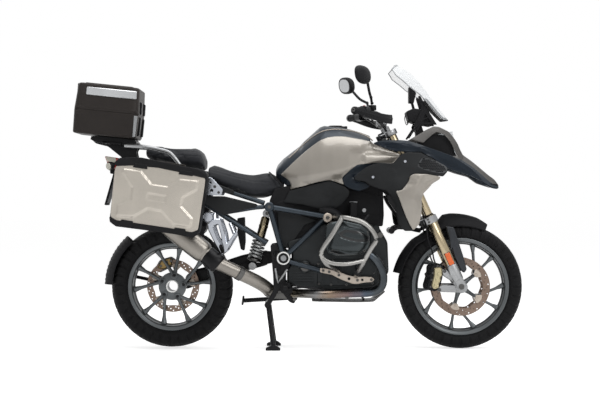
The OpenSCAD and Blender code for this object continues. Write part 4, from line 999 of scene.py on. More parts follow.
def beakShell():
    # sections across the beak through its ridge, its band and its lower lip, smoothed both ways
    x = np.array([716, 760, 800, 840, 880, 920, 960, 1000, 1030, 1051], float)
    ridge = table(x, [(716, 1004), (760, 1012), (800, 1030), (850, 1043), (874, 1007), (907, 984), (930, 965),
        (958, 942), (982, 919), (1007, 902), (1026, 888), (1045, 867), (1051, 856)])
    band = table(x, [(716, 996), (809, 992), (860, 965), (911, 935), (948, 908), (971, 884), (995, 862),
        (1027, 845), (1051, 842)])
    low = table(x, [(716, 952), (785, 932), (822, 918), (887, 901), (934, 866), (999, 843), (1031, 838),
        (1051, 838)])
    w = table(x, [(716, 98), (800, 98), (860, 88), (920, 70), (980, 48), (1030, 24), (1051, 8)])
    ridge = np.minimum(ridge, table(x, [(716, 1004), (800, 1018), (851, 1030), (874, 1007), (1051, 1007)]))
    t = np.linspace(-1, 1, 31)
    keys = np.array([-1, -0.72, -0.42, -0.16, 0, 0.16, 0.42, 0.72, 1.0])
    ys = np.stack([-w * 0.7, -w, -w * 0.82, -w * 0.2, w * 0, w * 0.2, w * 0.82, w, w * 0.7], 1)
    zs = np.stack([low + 6, (low + band) / 2, band, ridge - 3, ridge, ridge - 3, band, (low + band) / 2,
        low + 6], 1)
    y = np.stack([np.interp(t, keys, row) for row in ys])
    z = np.stack([np.interp(t, keys, row) for row in zs])
    g = np.stack([np.broadcast_to(x[:, None], y.shape), y, z], -1)
    flat = g.reshape(len(x), -1)
    rows = curve(flat, 50).reshape(50, len(t), 3)
    rows = curve(rows.transpose(1, 0, 2).reshape(len(t), -1), 46).reshape(46, 50, 3).transpose(1, 0, 2)
    inner = rows * [1, 0.93, 1] - [0, 0, 5]
    inner[:, :, 0] = np.minimum(inner[:, :, 0], 1044)
    return [shell(rows[:, i:j], inner[:, i:j], m) for i, j, m in ((0, 14, 0), (13, 33, 2), (32, 46, 0))]


def beakLow():
    # the dark underside: a shallow keel below the shell
    x = np.linspace(716, 1046, 30)
    low = table(x, [(716, 940), (785, 928), (822, 915), (887, 897), (934, 863), (999, 842), (1046, 839)])
    w = table(x, [(716, 84), (800, 84), (860, 74), (920, 58), (980, 38), (1046, 10)])
    t = np.linspace(-1, 1, 21)
    y = w[:, None] * t
    z = low[:, None] + 16 * t**2 + 0 * y
    g = np.stack([np.broadcast_to(x[:, None], y.shape), y, z], -1)
    return shell(g, g + [0, 0, 5], 1)


makePiece("beak", "chassis", beakShell() + [beakLow()], "slate blackPlastic taupe", ["beak"])

# headlight and what frames it


def lampSheet(lift):
    # the lens: a curved front from side to side, its nose line falling forwards
    t = np.linspace(-1, 1, 41)[None]
    s = np.linspace(0, 1, 21)[:, None]
    x = 836 - 26 * s - (106 - 14 * s) * np.abs(t)**2.1 + lift
    z = 1004 + 134 * s - 22 * t**2 * s
    y = 96 * t * (1 - 0.16 * s) + 0 * s
    return np.stack(np.broadcast_arrays(x, y, z), -1)


glass = shell(lampSheet(0), lampSheet(-2.5), 0)
bowl = shell(lampSheet(-26) * [1, 0.95, 1], lampSheet(-30) * [1, 0.95, 1], 1)
bulbs = bothSides([turned([(0, 0), (26, 0), (38, 22), (41, 24), (44, 22), (44, -4), (0, -4)],
    (768, -46, 1070), (1, 0, 0), 40, 2)])
eyes = bothSides([turned([(0, 12), (14, 10), (22, 2), (22, 0), (0, 0)], (770, -46, 1070), (1, 0, 0), 32, 3)])
makePiece("headlight", "chassis", [glass, bowl] + bulbs + eyes,
    "lampGlass blackPlastic polished mirrorGlass", ["headlight"])
sidesOf = bothSides([arch, plate([(640, 1084), (700, 1120), (770, 1112), (800, 1060), (820, 1006),
    (720, 1000), (640, 1030)], -112, -106, 1)])
makePiece("headlightSurround", "chassis", sidesOf, "blackPlastic taupe", ["headlight_surround"])
print("stage: bodywork made")

# side cases: each drawn flat in its own frame, along u (forward) and v (up), then tilted with the rack
caseLook = dict(tilt=8.6, corner=(-500, 588))


def casePlace(points):
    # (u, v) from the lower front corner: u backwards, v up, turned by the tilt
    a = math.radians(caseLook["tilt"])
    p = np.asarray(points, float)
    u, v = p[..., 0], p[..., 1]
    return np.stack([caseLook["corner"][0] - u * math.cos(a) + v * math.sin(a),
        caseLook["corner"][1] + u * math.sin(a) + v * math.cos(a)], -1)


faceOutline = [(-908, 950), (-830, 956), (-700, 945), (-584, 922), (-498, 904), (-462, 888), (-466, 850),
    (-496, 650), (-502, 622), (-530, 612), (-640, 632), (-909, 672), (-932, 684), (-938, 710), (-928, 800),
    (-916, 920)]
emboss = [(-872, 933), (-786, 921), (-731, 854), (-650, 842), (-590, 880), (-500, 871), (-507, 828),
    (-576, 790), (-586, 747), (-529, 683), (-540, 642), (-621, 654), (-681, 721), (-752, 735), (-824, 694),
    (-907, 699), (-900, 749), (-833, 778), (-826, 838), (-876, 916)]
plateau = [(-750, 811), (-657, 797), (-662, 764), (-755, 778)]


def caseFace():
    # the face sheet: it bulges towards its middle, the X is pressed out of it and the name field pressed in
    y = lambda q: 470.8 + 1.4 * ease(edgeDistance(q, np.array(faceOutline, float)) / 120)
    lines = [emboss + emboss[:1], plateau + plateau[:1]]
    wide = np.array(emboss, float)
    inside = lambda q: 7.4 * ease(edgeDistance(q, wide) / 10 + 0.5)
    hollow = lambda q: -3.5 * ease(edgeDistance(q, np.array(plateau, float)) / 4 + 0.5)
    return skin(soft(faceOutline, 14, 5), y, 4, 3, 5.5, lines, relief=addUp(inside, hollow))


caseOutline = soft([casePlace((0, 0)), casePlace((452, 0)), casePlace((452, 342)), casePlace((0, 342))], 46,
    7)


def lidParts():
    # on the right: a shallow tray with the pressed sheet on it, its two bands, its corner feet and its handle
    top = [(-894, 985), (-840, 990), (-780, 989), (-584, 948), (-498, 932), (-462, 905), (-461, 884),
        (-584, 914), (-700, 938), (-830, 949), (-906, 947), (-920, 960)]
    low = [(-942, 695), (-940, 668), (-909, 645), (-637, 610), (-522, 589), (-503, 605), (-500, 628),
        (-530, 616), (-640, 637), (-909, 677), (-930, 690)]
    parts = [trayShell(caseOutline, -359.5, -470, 4, 12, 1)]
    parts += [caseFace()]
    parts.append(slab(top, 5, -476, -462, 2, 1, steps=3))
    parts.append(slab(low, 5, -476, -462, 2, 1, steps=3))
    for u0, u1 in ((60, 130), (325, 400)):
        foot = [casePlace((u0, 6)), casePlace((u1, 6)), casePlace((u1 - 8, 34)), casePlace((u0 + 8, 34))]
        parts.append(slab(foot, 4, -479.5, -465, 2, 1, steps=3))
    for u in (70, 300):
        foot = [casePlace((u, 300)), casePlace((u + 74, 300)), casePlace((u + 66, 322)),
            casePlace((u + 6, 322))]
        parts.append(slab(foot, 4, -479, -465, 2, 1, steps=3))
    hand = [casePlace(p) for p in ((120, 352), (262, 352), (270, 342), (256, 332), (126, 332), (112, 342))]
    parts.append(slab(hand, 5, -455, -430, 2, 2, steps=3))
    return parts


def bodyParts():
    return [trayShell(caseOutline, -365, -262, 4, 16, 1)]


lid = lidParts()
makePiece("rightCaseLid", "right_lid", lid, "caseFace blackPlastic caseBrown",
    ["right_case_lid"])
makePiece("leftCaseLid", "left_lid", mirrored(lid), "caseFace blackPlastic caseBrown",
    ["left_case_lid"])
makePiece("sideCaseBodies", "chassis", bothSides(bodyParts()),
    "caseFace blackPlastic caseBrown", ["side_case_bodies"])

# top case
topLook = dict(corner=(-834, 1092), tilt=5.8, length=336, width=392)


def topSection(z0, z1, inset0, inset1, material, wall=4, r=20):
    # walls between two rounded rectangles in the case's own frame, one end open and one closed and rounded
    length, half = topLook["length"], topLook["width"] / 2
    back, side = length - inset0, half - inset0
    first = resample(soft([(inset0, -side), (back, -side), (back, side), (inset0, side)], 38, 7), 16)
    first = np.stack([-first[:, 0], first[:, 1], 0 * first[:, 0]], -1)
    s = 1 if z1 > z0 else -1
    a = np.linspace(0, np.pi / 2, 6)
    rows = [(inset0, z0)] + [(inset1 + r * (1 - math.cos(t)), z1 - s * r * (1 - math.sin(t))) for t in a]
    floorRow = len(rows) - 1
    rows += [(inset1 + wall + r * 0.8 * (1 - math.cos(t)), z1 - s * wall - s * 0.8 * r * (1 - math.sin(t)))
        for t in a[::-1]]
    rows.append((inset0 + wall, z0))
    middle = np.array([-length / 2, 0, 0])
    grid = [(first - middle) * [(length / 2 - inset) / (length / 2 - inset0), (half - inset) / side,
        1] + middle + [0, 0, z] for inset, z in rows]
    return trayPart(np.stack(grid), floorRow, material)


def topPlaced(part):
    return moved(part, aboutY(-topLook["tilt"]), (topLook["corner"][0], 0, topLook["corner"][1]))


def topSlab(outline, y0, y1, bevel, material):
    return topPlaced(plate(np.array(outline, float) * [-1, 1], y0, y1, bevel, material))


topBody = [topPlaced(topSection(124.5, 0, 0.5, 4, 0, r=10))]
topBody += bothSides([topSlab(soft([(6, 8), (20, 6), (22, 116), (4, 116)], 4, 3), -194.5, -188, 1.5, 1),
    topSlab(soft([(22, 4), (326, 4), (322, 16), (22, 16)], 3, 3), -191, -184, 1.5, 0),
    topSlab(soft([(30, 96), (326, 96), (328, 118), (28, 118)], 3, 3), -194.5, -188, 1.5, 0)])
for y in (-96, 96):
    topBody.append(topSlab(soft([(-8, 20), (6, 14), (6, 118), (-8, 112)], 4, 3), y - 14, y + 14, 2, 2))
makePiece("topCaseBody", "chassis", topBody, "caseBrown paleGrey blackMetal",
    ["top_case_body"])
topLid = [topPlaced(topSection(126, 262, 0.5, 9, 0, r=12))]
topLid += bothSides([topSlab(soft([(18, 202), (278, 202), (278, 242), (20, 242)], 5, 3), -195.5, -176, 3, 1),
    topSlab(soft(box(12, 328, 130, 144), 3, 3), -195, -188, 1.5, 0)])
topLid.append(topSlab(soft([(40, 256), (296, 256), (290, 266), (46, 266)], 4, 3), -150, 150, 2, 0))
for y in (-96, 96):
    topLid.append(topSlab(soft([(-8, 130), (6, 128), (10, 196), (-6, 190)], 4, 3), y - 14, y + 14, 2, 2))
topLid.append(topSlab(soft([(318, 196), (342, 200), (343, 262), (316, 266)], 4, 3), -60, 60, 2, 2))
makePiece("topCaseLid", "top_lid", topLid, "caseBrown silverTrim blackMetal", ["top_case_lid"])
print("stage: cases made")

# seats: a padded core is blown up a little by cloth pressure, then the seams are laid on it
seatLook = dict(voxel=0.006, pressure=4.0, frames=20, cap=0.010)


def stationRing(x, z0, z1, w0, w1, count=56, sharp=0.62):
    # a soft-cornered section: width w0 at the bottom, w1 at the top, its height from z0 to z1
    ring = circle(count, sharp)
    z = (z0 + z1) / 2 + ring[:, 1] * (z1 - z0) / 2
    w = w0 + (w1 - w0) * (ring[:, 1] + 1) / 2
    return np.stack([np.full(count, x, float), ring[:, 0] * w, z], -1)


def padCore(stations, count=70):
    # smooth rows between the stations, closed at both ends
    rings = np.stack([stationRing(*s) for s in stations])
    g = curve(rings.reshape(len(rings), -1), count).reshape(count, -1, 3)
    ends = [g[:1] * [1, 0.8, 1] + [[[(-4), 0, 0]]], g, g[-1:] * [1, 0.8, 1] + [[[4, 0, 0]]]]
    z0 = ends[0][..., 2].mean()
    ends[0][..., 2] = z0 + (ends[0][..., 2] - z0) * 0.8
    z1 = ends[2][..., 2].mean()
    ends[2][..., 2] = z1 + (ends[2][..., 2] - z1) * 0.8
    g = np.concatenate(ends)
    return capped(g)


def inflate(piece):
    # voxel remesh, then cloth pressure without gravity, each point held within cap of where it began
    remesh = piece.modifiers.new("even", "REMESH")
    remesh.mode = "VOXEL"
    remesh.voxel_size = seatLook["voxel"]
    graph = bpy.context.evaluated_depsgraph_get()
    even = bpy.data.meshes.new_from_object(piece.evaluated_get(graph))
    piece.modifiers.clear()
    start = np.empty(len(even.vertices) * 3)
    even.vertices.foreach_get("co", start)
    start = start.reshape(-1, 3)
    holder = bpy.data.objects.new(piece.name + "Pad", even)
    bpy.context.scene.collection.objects.link(holder)
    cloth = holder.modifiers.new("cloth", "CLOTH")
    cloth.settings.use_pressure = True
    cloth.settings.uniform_pressure_force = seatLook["pressure"]
    cloth.settings.effector_weights.gravity = 0
    cloth.collision_settings.use_collision = False
    cloth.point_cache.frame_end = seatLook["frames"]
    for step in range(1, seatLook["frames"] + 1):
        bpy.context.scene.frame_set(step)
    graph = bpy.context.evaluated_depsgraph_get()
    blown = bpy.data.meshes.new_from_object(holder.evaluated_get(graph))
    end = np.empty(len(blown.vertices) * 3)
    blown.vertices.foreach_get("co", end)
    move = end.reshape(-1, 3) - start
    far = np.linalg.norm(move, axis=1, keepdims=True)
    start = start + move * np.minimum(1, seatLook["cap"] / np.maximum(far, 1e-9))
    bpy.data.objects.remove(holder)
    bpy.context.scene.frame_set(1)
    even.vertices.foreach_set("co", start.ravel())
    even.update()
    return even, start


def seatPiece(name, stations, node, box, detail):
    # the core is made, blown up, kept inside its own box, shaped by its seams and subdivided once
    piece = makePiece(name, "chassis", [padCore(stations)], "seatBlack", [node])
    materials = list(piece.data.materials)
    even, p = inflate(piece)
    q = p * 1000
    lo, hi = box
    q = np.clip(q, lo, hi)
    q = detail(q)
    even.vertices.foreach_set("co", (q / 1000).ravel())
    even.update()
    even.materials.clear()
    for m in materials:
        even.materials.append(m)
    even.polygons.foreach_set("use_smooth", np.ones(len(even.polygons), bool))
    old = piece.data
    piece.data = even
    even.name = name
    bpy.data.meshes.remove(old)
    sub = piece.modifiers.new("finer", "SUBSURF")
    sub.levels = sub.render_levels = 1
    return piece


def groove(value, width, depth):
    # a sewn channel: a dip of a given depth and half width where value passes zero
    return -depth * np.exp(-(value / width)**2)


def riderDetail(q):
    # channels: one along each upper edge, one across the front third, and a dished top
    x, y, z = q.T
    top = table(x, [(-470, 960), (-400, 944), (-320, 922), (-240, 910), (-180, 914), (-134, 912), (-104, 890),
        (-64, 868)])
    half = table(x, [(-470, 118), (-400, 122), (-320, 116), (-240, 104), (-180, 88), (-134, 66), (-64, 60)])
    up = ease((z - (top - 34)) / 24)
    side = ease((60 - np.abs(z - (top - 30))) / 20)
    dz = up * (groove(np.abs(y) - half * 0.82, 3.0, 2.4) + groove(x + 150 + 0.0016 * y * y, 3.0,
        2.2) - 7 * ease(1 - (y / (half * 0.8))**2) * ease(1 - ((x + 290) / 130)**2))
    edge = top - 30 - 16 * ease((x + 330) / 200)
    dy = groove(z - edge, 3.0, 2.2) * side * ease((np.abs(y) - 40) / 20)
    return np.stack([x, y + np.sign(y) * dy, z + dz], -1)


def pillionDetail(q):
    # channels: along each upper edge and two across the top
    x, y, z = q.T
    top = table(x, [(-800, 1050), (-650, 1046), (-506, 1038), (-474, 970)])
    up = ease((z - (top - 30)) / 20)
    dz = up * (groove(np.abs(y) - 100, 3.0, 2.2) + groove(x + 700 - 0.001 * y * y, 3.0,
        1.8) + groove(x + 560 - 0.001 * y * y, 3.0, 2.0) - 5 * ease(1 - (y / 90)**2)
        * ease(1 - ((x + 630) / 90)**2))
    dy = groove(z - (top - 34), 3.0, 2.2) * ease((np.abs(y) - 50) / 20)
    return np.stack([x, y + np.sign(y) * dy, z + dz], -1)


seatPiece("riderSeat", [(-464, 874, 954, 144, 112), (-400, 848, 938, 152, 116), (-320, 822, 916, 144, 110),
    (-240, 796, 904, 132, 98), (-180, 796, 908, 120, 82), (-134, 812, 906, 108, 62),
    (-104, 826, 885, 100, 56), (-72, 843, 866, 90, 54)], "rider_seat", ([-470, -158, 788], [-64, 158, 961]),
    riderDetail)
seatPiece("pillionSeat", [(-794, 1004, 1045, 90, 78), (-760, 986, 1050, 112, 90), (-650, 956, 1039, 130, 110),
    (-560, 942, 1037, 138, 116), (-510, 936, 1030, 140, 112), (-482, 932, 966, 136, 112)], "pillion_seat",
    ([-800, -146, 926], [-474, 146, 1056]), pillionDetail)
seatTrim = []
for y in (-1, 1):
    line = curve([(-140, y * 70, 914), (-128, y * 76, 900), (-112, y * 88, 880), (-96, y * 97, 862),
        (-84, y * 98, 846)], 24)
    seatTrim.append(sweep(line, np.array([[3.0, 5.5]] * 24), 12, up=(0, 1, 0)))
seatTrim.append(sweep(curve([(-146, -66, 917), (-150, -30, 922), (-151, 0, 923), (-150, 30, 922),
    (-146, 66, 917)], 24), np.array([[5.0, 2.5]] * 24), 12))
makePiece("seatTrim", "chassis", seatTrim, "blackPlastic")
print("stage: seats made")

# engine block: crankcase halves, gearbox, barrels with fins, front cover, covers and plugs
crank = [(-58, 345), (-58, 425), (-35, 450), (-35, 505), (-58, 530), (-58, 560), (60, 598), (120, 658),
    (330, 666), (418, 638), (464, 560), (470, 400), (398, 320), (120, 306), (20, 320)]
block = [boxShell(soft(crank, 16), -117, 117, 12, 0), boxShell(soft([(-128, 382), (-128, 518), (-64, 552),
    (-64, 352), (-88, 352)], 10), -87, 87, 8, 0), boxShell(soft([(180, 478), (180, 634), (338, 634),
    (338, 478)], 26, 5), -194, 194, 6, 0)]
fin = soft([(172, 471), (172, 641), (344, 641), (344, 471)], 34, 6)
for k in range(7):
    block += bothSides([plate(fin, -128 - k * 10, -124.5 - k * 10, 0.8)])
lowerCover = soft([(100, 330), (96, 452), (150, 470), (372, 470), (446, 452), (452, 400), (392, 336)], 14)
block += bothSides([plate(lowerCover, -124, -116, 3)])
for k in range(8):
    x = 128 + k * 38
    block += bothSides([plate([(x, 350), (x + 7, 350), (x + 10, 446), (x - 3, 446)], -127, -122, 1)])
block += bothSides(bolts(((108, 342), (104, 446), (180, 462), (300, 462), (400, 456), (440, 410), (386, 346),
    (250, 338), (170, 338)), -122, 6.5, 5, 1))
block += [turned([(0, -134), (50, -134), (56, -128), (57, -110), (57, 110), (56, 128), (50, 134), (0, 134)],
    (352, 0, 430), (0, 1, 0), 60), turned([(57, 0), (57.5, 3), (57.5, 5), (57, 8)], (352, -124, 430),
    (0, 1, 0), 60)]
for a in range(0, 360, 60):
    c = polar(48, a + 20)
    block += bothSides([bolt((352 + c[0], -130, 430 + c[1]), (0, -1, 0), 5.5, 4, 1)])
block += [turned([(0, 0), (17, 0), (19, 3), (19, 12), (15, 16), (0, 16)], (404, -117, 628), (-0.1, -1, 0.15),
    30), slab([(380, 470), (462, 470), (456, 560), (416, 628), (372, 628)], 14, -124, -116, 3),
    turned([(0, 0), (16, 0), (16, 5), (13, 8), (0, 8)], (424, -122, 596), (0, -1, 0), 28, 1),
    turned([(0, 0), (30, 0), (32, 4), (32, 20), (27, 24), (0, 24)], (36, -117, 430), (0, -1, 0), 40),
    turned(box(0, 22, 0, 4), (36, -141, 430), (0, -1, 0), 30, 1)]
for k in range(5):
    block.append(plate([(-50 + 4 * k, 350 + k * 14), (80, 350 + k * 14), (80, 355 + k * 14),
        (-50 + 4 * k, 355 + k * 14)], -120, -116, 1))
block += bothSides([tube([(214, -112, 655), (206, -148, 690), (176, -150, 712), (120, -120, 722)], 24, 24,
    material=2), turned([(26, 0), (28, 2), (28, 14), (26, 16)], (211, -128, 668), (-0.2, -0.7, 0.65), 28, 1)])
makePiece("engineBlock", "chassis", block, "engineGrey darkSteel blackPlastic",
    ["engine_block"])

# cylinder heads: a body that narrows to the cover, its band and lower facet pressed in
headOutline = [(136, 548), (150, 505), (196, 494), (304, 500), (352, 528), (362, 560), (356, 618), (322, 652),
    (232, 674), (166, 668), (138, 640)]
headSoft = soft(headOutline, 20, 5)
coverFlat = lambda q: 384 + 17 * ease(edgeDistance(q, np.array(headOutline, float)) / 46) ** 0.8
coverRelief = addUp(raised([(203, 608), (236, 630), (301, 622), (361, 597), (361, 564), (307, 564),
    (263, 572), (219, 586)], -5, 5), raised([(216, 602), (240, 618), (300, 612), (340, 598), (340, 574),
    (300, 574), (262, 582), (230, 592)], 2.5, 4), crease([(148, 542), (203, 529), (257, 510), (312, 521),
    (350, 548), (345, 490), (203, 490), (145, 505)], 0.30, 22), raised([(236, 674), (250, 650), (330, 630),
    (356, 600), (366, 640), (320, 670)], -3, 6))
head = [boxShell(headSoft, -378, -262, 10, 0), skin(headSoft, coverFlat, 14, 9, 6.5,
    [[(203, 608), (236, 630), (301, 622), (356, 597)], [(148, 542), (203, 529), (257, 510), (312, 521),
    (350, 548)]], relief=coverRelief)]
for k in range(6):
    head.append(slab([(158, 486), (158, 652), (350, 652), (350, 486)], 30, -204 - k * 10, -200.5 - k * 10,
        0.8, 1, steps=5))
head.append(boxShell(soft([(168, 496), (168, 644), (340, 644), (340, 496)], 24, 5), -270, -197, 4, 1))
head.append(plate(headSoft, -334, -330, 1, 1))
# painted shade and painted dark reflection: dark glossy plates laid over the cover's pressed-in band and its
# lower facet
bandShadeOutline = [(203, 608), (236, 630), (301, 622), (357, 597), (357, 566), (307, 564), (263, 572), (219, 586)]
lowShadeOutline = [(168, 536), (206, 527), (257, 510), (310, 519), (342, 540), (334, 516), (300, 505), (200, 499),
    (164, 512)]
for line in (bandShadeOutline, lowShadeOutline):
    head.append(skin(soft(line, 9), lambda q: coverFlat(q) - 2.6, 3, 1.5, 6.5, material=4))
head += bolts(((160, 640), (346, 610), (334, 522), (164, 516), (240, 660)), -379, 7, 6, 2)
head += [turned([(0, 0), (11, 0), (11, 10), (8, 14), (0, 14)], (330, -300, 655), (0.5, 0, 1), 20, 2),
    tube([(330, -300, 662), (350, -270, 690), (360, -220, 700), (350, -160, 690)], 4.5, 24, sides=10,
    material=3)]
makePiece("cylinderHeads", "chassis", bothSides(head),
    "headCover engineGrey darkSteel blackPlastic glossBlack", ["cylinder_heads"])

# crash bars with their bracket and clamps
bars = [bent([(186, -186, 690), (214, -390, 690), (246, -428, 688), (343, -430, 663), (402, -424, 582),
    (366, -422, 536), (330, -396, 468), (302, -262, 402), (297, -186, 386)], 12.3, 46, bevel=1.5),
    bent([(222, -404, 689), (170, -430, 598), (106, -430, 514), (140, -400, 454), (204, -250, 418),
    (211, -186, 411)], 12.3, 46, bevel=1.5), bent([(120, -418, 486), (166, -432, 458), (246, -434, 454),
    (336, -402, 474)], 10.3, 40, bevel=1.5)]
bracketOutline = [(112, 405), (112, 426), (150, 423), (185, 414), (224, 402), (263, 388), (308, 381),
    (341, 383), (380, 380), (394, 367), (380, 354), (347, 352), (308, 345), (280, 345), (235, 362),
    (202, 376), (174, 392), (140, 398)]
bars.append(slab(bracketOutline, 6, -187, -180, 1.5, 1, [round2(262, 372, 7, 16), round2(330, 366, 6, 16)],
    steps=3))
bars += bolts(((129, 414), (160, 407), (210, 390), (305, 364), (377, 367)), -187, 7, 5, 2)
bars += [turned([(0, 0), (22, 0), (24, 3), (24, 10), (20, 14), (0, 14)], (152, -186, 686), (0, -1, 0), 32, 1),
    bolt((152, -200, 686), (0, -1, 0), 9, 6, 2), turned([(17, -14), (17.5, -12), (17.5, 12), (17, 14)],
    (306, -280, 410), (0.2, 0.9, 0.4), 24, 3)]
makePiece("crashBars", "chassis", bothSides(bars), "stainless beigeAlloy darkSteel blackMetal",
    ["crash_bars"])

# main frame: tubes, the top knot's ring, the pivot plate and the spine to the steering head
knot = (-149, 0, 741)


def run(points, r, material=0, **more):
    return sweep(resample(points, 30, closed=False), r, 24, material=material, **more)


sideFrame = [run([(-149, -150, 741), (-76, -150, 486)], 14), run([(-149, -150, 741), (151, -147, 690)], 14),
    run([(-76, -150, 477), (150, -148, 691)], 13), run([(-46, -150, 457), (122, -149, 412)], 13),
    run([(150, -148, 691), (148, -122, 668)], 12), run([(122, -149, 412), (122, -125, 419)], 12),
    turnedRing(cutBox(9, 25, -172, -128, 3, 3), (-149, 0, 741), (0, 1, 0), 40),
    turned(box(0, 9, -170, -130), (-149, 0, 741), (0, 1, 0), 24, 2), turnedRing([(26, -184), (27, -188),
    (33, -188), (35, -185), (35, -150), (26, -150)], (-76, 0, 477), (0, 1, 0), 56, 3),
    turned(box(0, 26.5, -178, -92), (-76, 0, 477), (0, 1, 0), 48, 4), turned([(0, -184), (8, -184), (9, -186),
    (14, -186), (15, -183), (15, -170), (0, -170)], (-76, 0, 477), (0, 1, 0), 40, 1)]
pivotPlate = [(-130, 392), (-144, 545), (-104, 552), (-50, 506), (-38, 452), (-70, 382), (-56, 312),
    (-26, 268), (-12, 256), (-22, 240), (-46, 250), (-82, 300), (-102, 304), (-140, 240), (-156, 224),
    (-170, 236), (-128, 312), (-128, 350)]
sideFrame += [slab(pivotPlate, 9, -147, -133, 3, 4, [round2(-112, 500, 13, 24)]),
    slab([(-108, 392), (-122, 470), (-112, 500), (-90, 440), (-92, 392)], 8, -150, -146, 1.5, 4)]
for x, z in ((151, 690), (122, 412), (-104, 380), (-96, 300), (-20, 262)):
    sideFrame.append(bolt((x, -147 if x < 0 else -160, z), (0, -1, 0), 9, 7, 2))
sideFrame += [run([(140, -160.5, 690), (151, -147, 690)], 13), run([(122, -161, 412), (122, -147, 412)], 13)]
spine = soft([(150, 676), (250, 684), (330, 790), (430, 925), (486, 1030), (470, 1075), (430, 1060),
    (360, 930), (250, 800), (170, 720)], 20)
headTube = steered(turnedRing(cutBox(14, 30, 812, 859, 2, 3), (0, 0, 0), (0, 0, 1), 40))
frameParts = bothSides(sideFrame) + [boxShell(spine, -33, 33, 9, 0), headTube,
    steered(turned(box(0, 13.8, 800, 901), (0, 0, 0), (0, 0, 1), 24, 1)),
    turned(box(0, 15.5, -132, 132), knot, (0, 1, 0), 24)]
makePiece("mainFrame", "chassis", frameParts,
    "framePaint paleGrey darkSteel bright blackMetal", ["main_frame"])
rails = [bent([(-162, -118, 553), (-340, -122, 664), (-500, -122, 770), (-818, -116, 899)], 12, 40,
    bevel=1.5), bent([(-178, -118, 741), (-222, -122, 738), (-407, -122, 707)], 11, 30, bevel=1.5),
    bent([(-178, -104, 761), (-480, -116, 860), (-818, -104, 929)], 12, 40, bevel=1.5)]
makePiece("rearSubframe", "chassis", bothSides(rails), "framePaint", ["rear_subframe"])
carriers = [run([(-820, -91, 915), (-820, 91, 915)], 10, bevel=1), run([(-500, -109.5, 770),
    (-500, 109.5, 770)], 10, bevel=1)]
carriers += bothSides([run([(-560, -135, 794), (-560, -257, 794)], 8, bevel=1),
    run([(-800, -130, 884), (-800, -257, 884)], 8, bevel=1), slab([(-448, 893), (-468, 893), (-475, 803),
    (-396, 801), (-387, 830), (-420, 866)], 8, -173, -167, 1.2, 1, [round2(-446, 826, 8, 18),
    round2(-452, 866, 6, 16)]), bolt((-430, -173, 846), (0, -1, 0), 8, 5, 2),
    bolt((-410, -173, 816), (0, -1, 0), 7, 5, 2)])
makePiece("caseCarriers", "chassis", carriers, "blackMetal polished darkSteel",
    ["case_carriers"])

airBox = [(-120, 760), (-120, 650), (-94, 574), (48, 612), (108, 684), (300, 690), (420, 700), (436, 800),
    (330, 826), (240, 834), (-10, 828), (-60, 784)]
backing = [(-150, 772), (-124, 834), (-60, 850), (100, 880), (200, 890), (330, 884), (440, 866), (446, 700),
    (440, 640), (330, 640), (120, 630), (0, 560), (-94, 566), (-120, 650)]
flap = [(-318, 682), (-280, 688), (-276, 560), (-282, 512), (-300, 520), (-316, 600)]
covers = bothSides([slab(backing, 10, -92, -42, 4), boxShell(soft(airBox, 10), -94, -38, 6, 0),
    plate([(-20, 690), (96, 700), (96, 706), (-20, 696)], -98, -93, 1),
    plate([(-20, 740), (226, 752), (226, 758), (-20, 746)], -98, -93, 1),
    slab([(268, 690), (300, 688), (304, 764), (270, 768)], 6, -176, -96, 4, steps=3),
    turnedRing(box(17, 21, 0, 5), (286, -134, 764), (0, 0, 1), 32, 1),
    turned([(0, 0), (9, 0), (10, 2), (10, 14), (0, 14)], (342, -118, 724), (0, -1, 0), 24, 2)])
covers.append(boxShell(soft(flap, 5, 3), -60, 60, 4, 0))
makePiece("innerCovers", "chassis", covers, "blackPlastic paleGrey castAlloy",
    ["inner_covers"])

# swing arm: a cast arm to the final drive, with the rear calliper
armLine = [(-158, 434), (-158, 510), (-190, 508), (-300, 484), (-480, 424), (-560, 406), (-600, 372),
    (-600, 302), (-540, 320), (-460, 352), (-280, 400), (-190, 424)]
swing = [boxShell(soft(armLine, 16), 101, 151, 12, 0), moved(turnedRing([(44.3, 53), (58, 53), (63, 60),
    (64, 74), (64, 132), (60, 144), (52, 148), (44.3, 147)], (0, 0, 0), (0, 1, 0), 72), shift=rearAxle),
    boxShell(soft([(-114, 448), (-114, 506), (-198, 506), (-198, 430)], 10), 91, 132, 6, 0),
    slab([(-730, 393), (-754, 420), (-730, 461), (-668, 480), (-642, 462), (-649, 431), (-690, 412)], 8, 47,
    52, 1, 1), slab([(-742, 420), (-716, 464), (-669, 474), (-661, 437), (-706, 411)], 10, 4.5, 28.5, 5, 2)]
swing += bolts(((-722, 430), (-690, 452), (-668, 456)), 5, 7, 4, 1)
for a in range(0, 360, 45):
    c = polar(55, a + 10)
    swing.append(bolt((rearAxle[0] + c[0], 147, rearAxle[2] + c[1]), (0, 1, 0), 6, 5, 1))
makePiece("swingArm", "chassis", swing, "blackMetal darkSteel bronzeCaliper", ["swing_arm"])

# rear shock: gold body with adjusters, pale spring round its rod
shockTop, shockFoot = np.array([-164.0, 0, 706]), np.array([-240.0, 0, 430])
down = unit(shockFoot - shockTop)
shock = [turned([(0, 18), (17, 18), (20, 22), (23, 28), (23, 62), (24.5, 64), (24.5, 74), (23, 76), (23, 138),
    (20, 141), (0, 141)], shockTop, down, 44, 0), turned(box(0, 8.5, 140, 262), shockTop, down, 24, 2),
    turned([(23, 128), (36, 130), (38, 134), (38, 142), (9, 144)], shockTop, down, 44, 2),
    turned([(9, 246), (36, 246), (38, 250), (38, 256), (20, 262), (9, 263)], shockTop, down, 44, 2),
    turnedRing(cutBox(9, 22, -16, 16, 1, 2), shockTop, (0, 1, 0), 36, 1),
    turned(box(0, 9, -15, 15), shockTop, (0, 1, 0), 24, 2), turned(cutBox(0, 20, -16, 98, 1, 2), shockFoot,
    (0, 1, 0), 36, 1), run([shockTop + down * 2, shockTop + down * 22], 14, 1)]
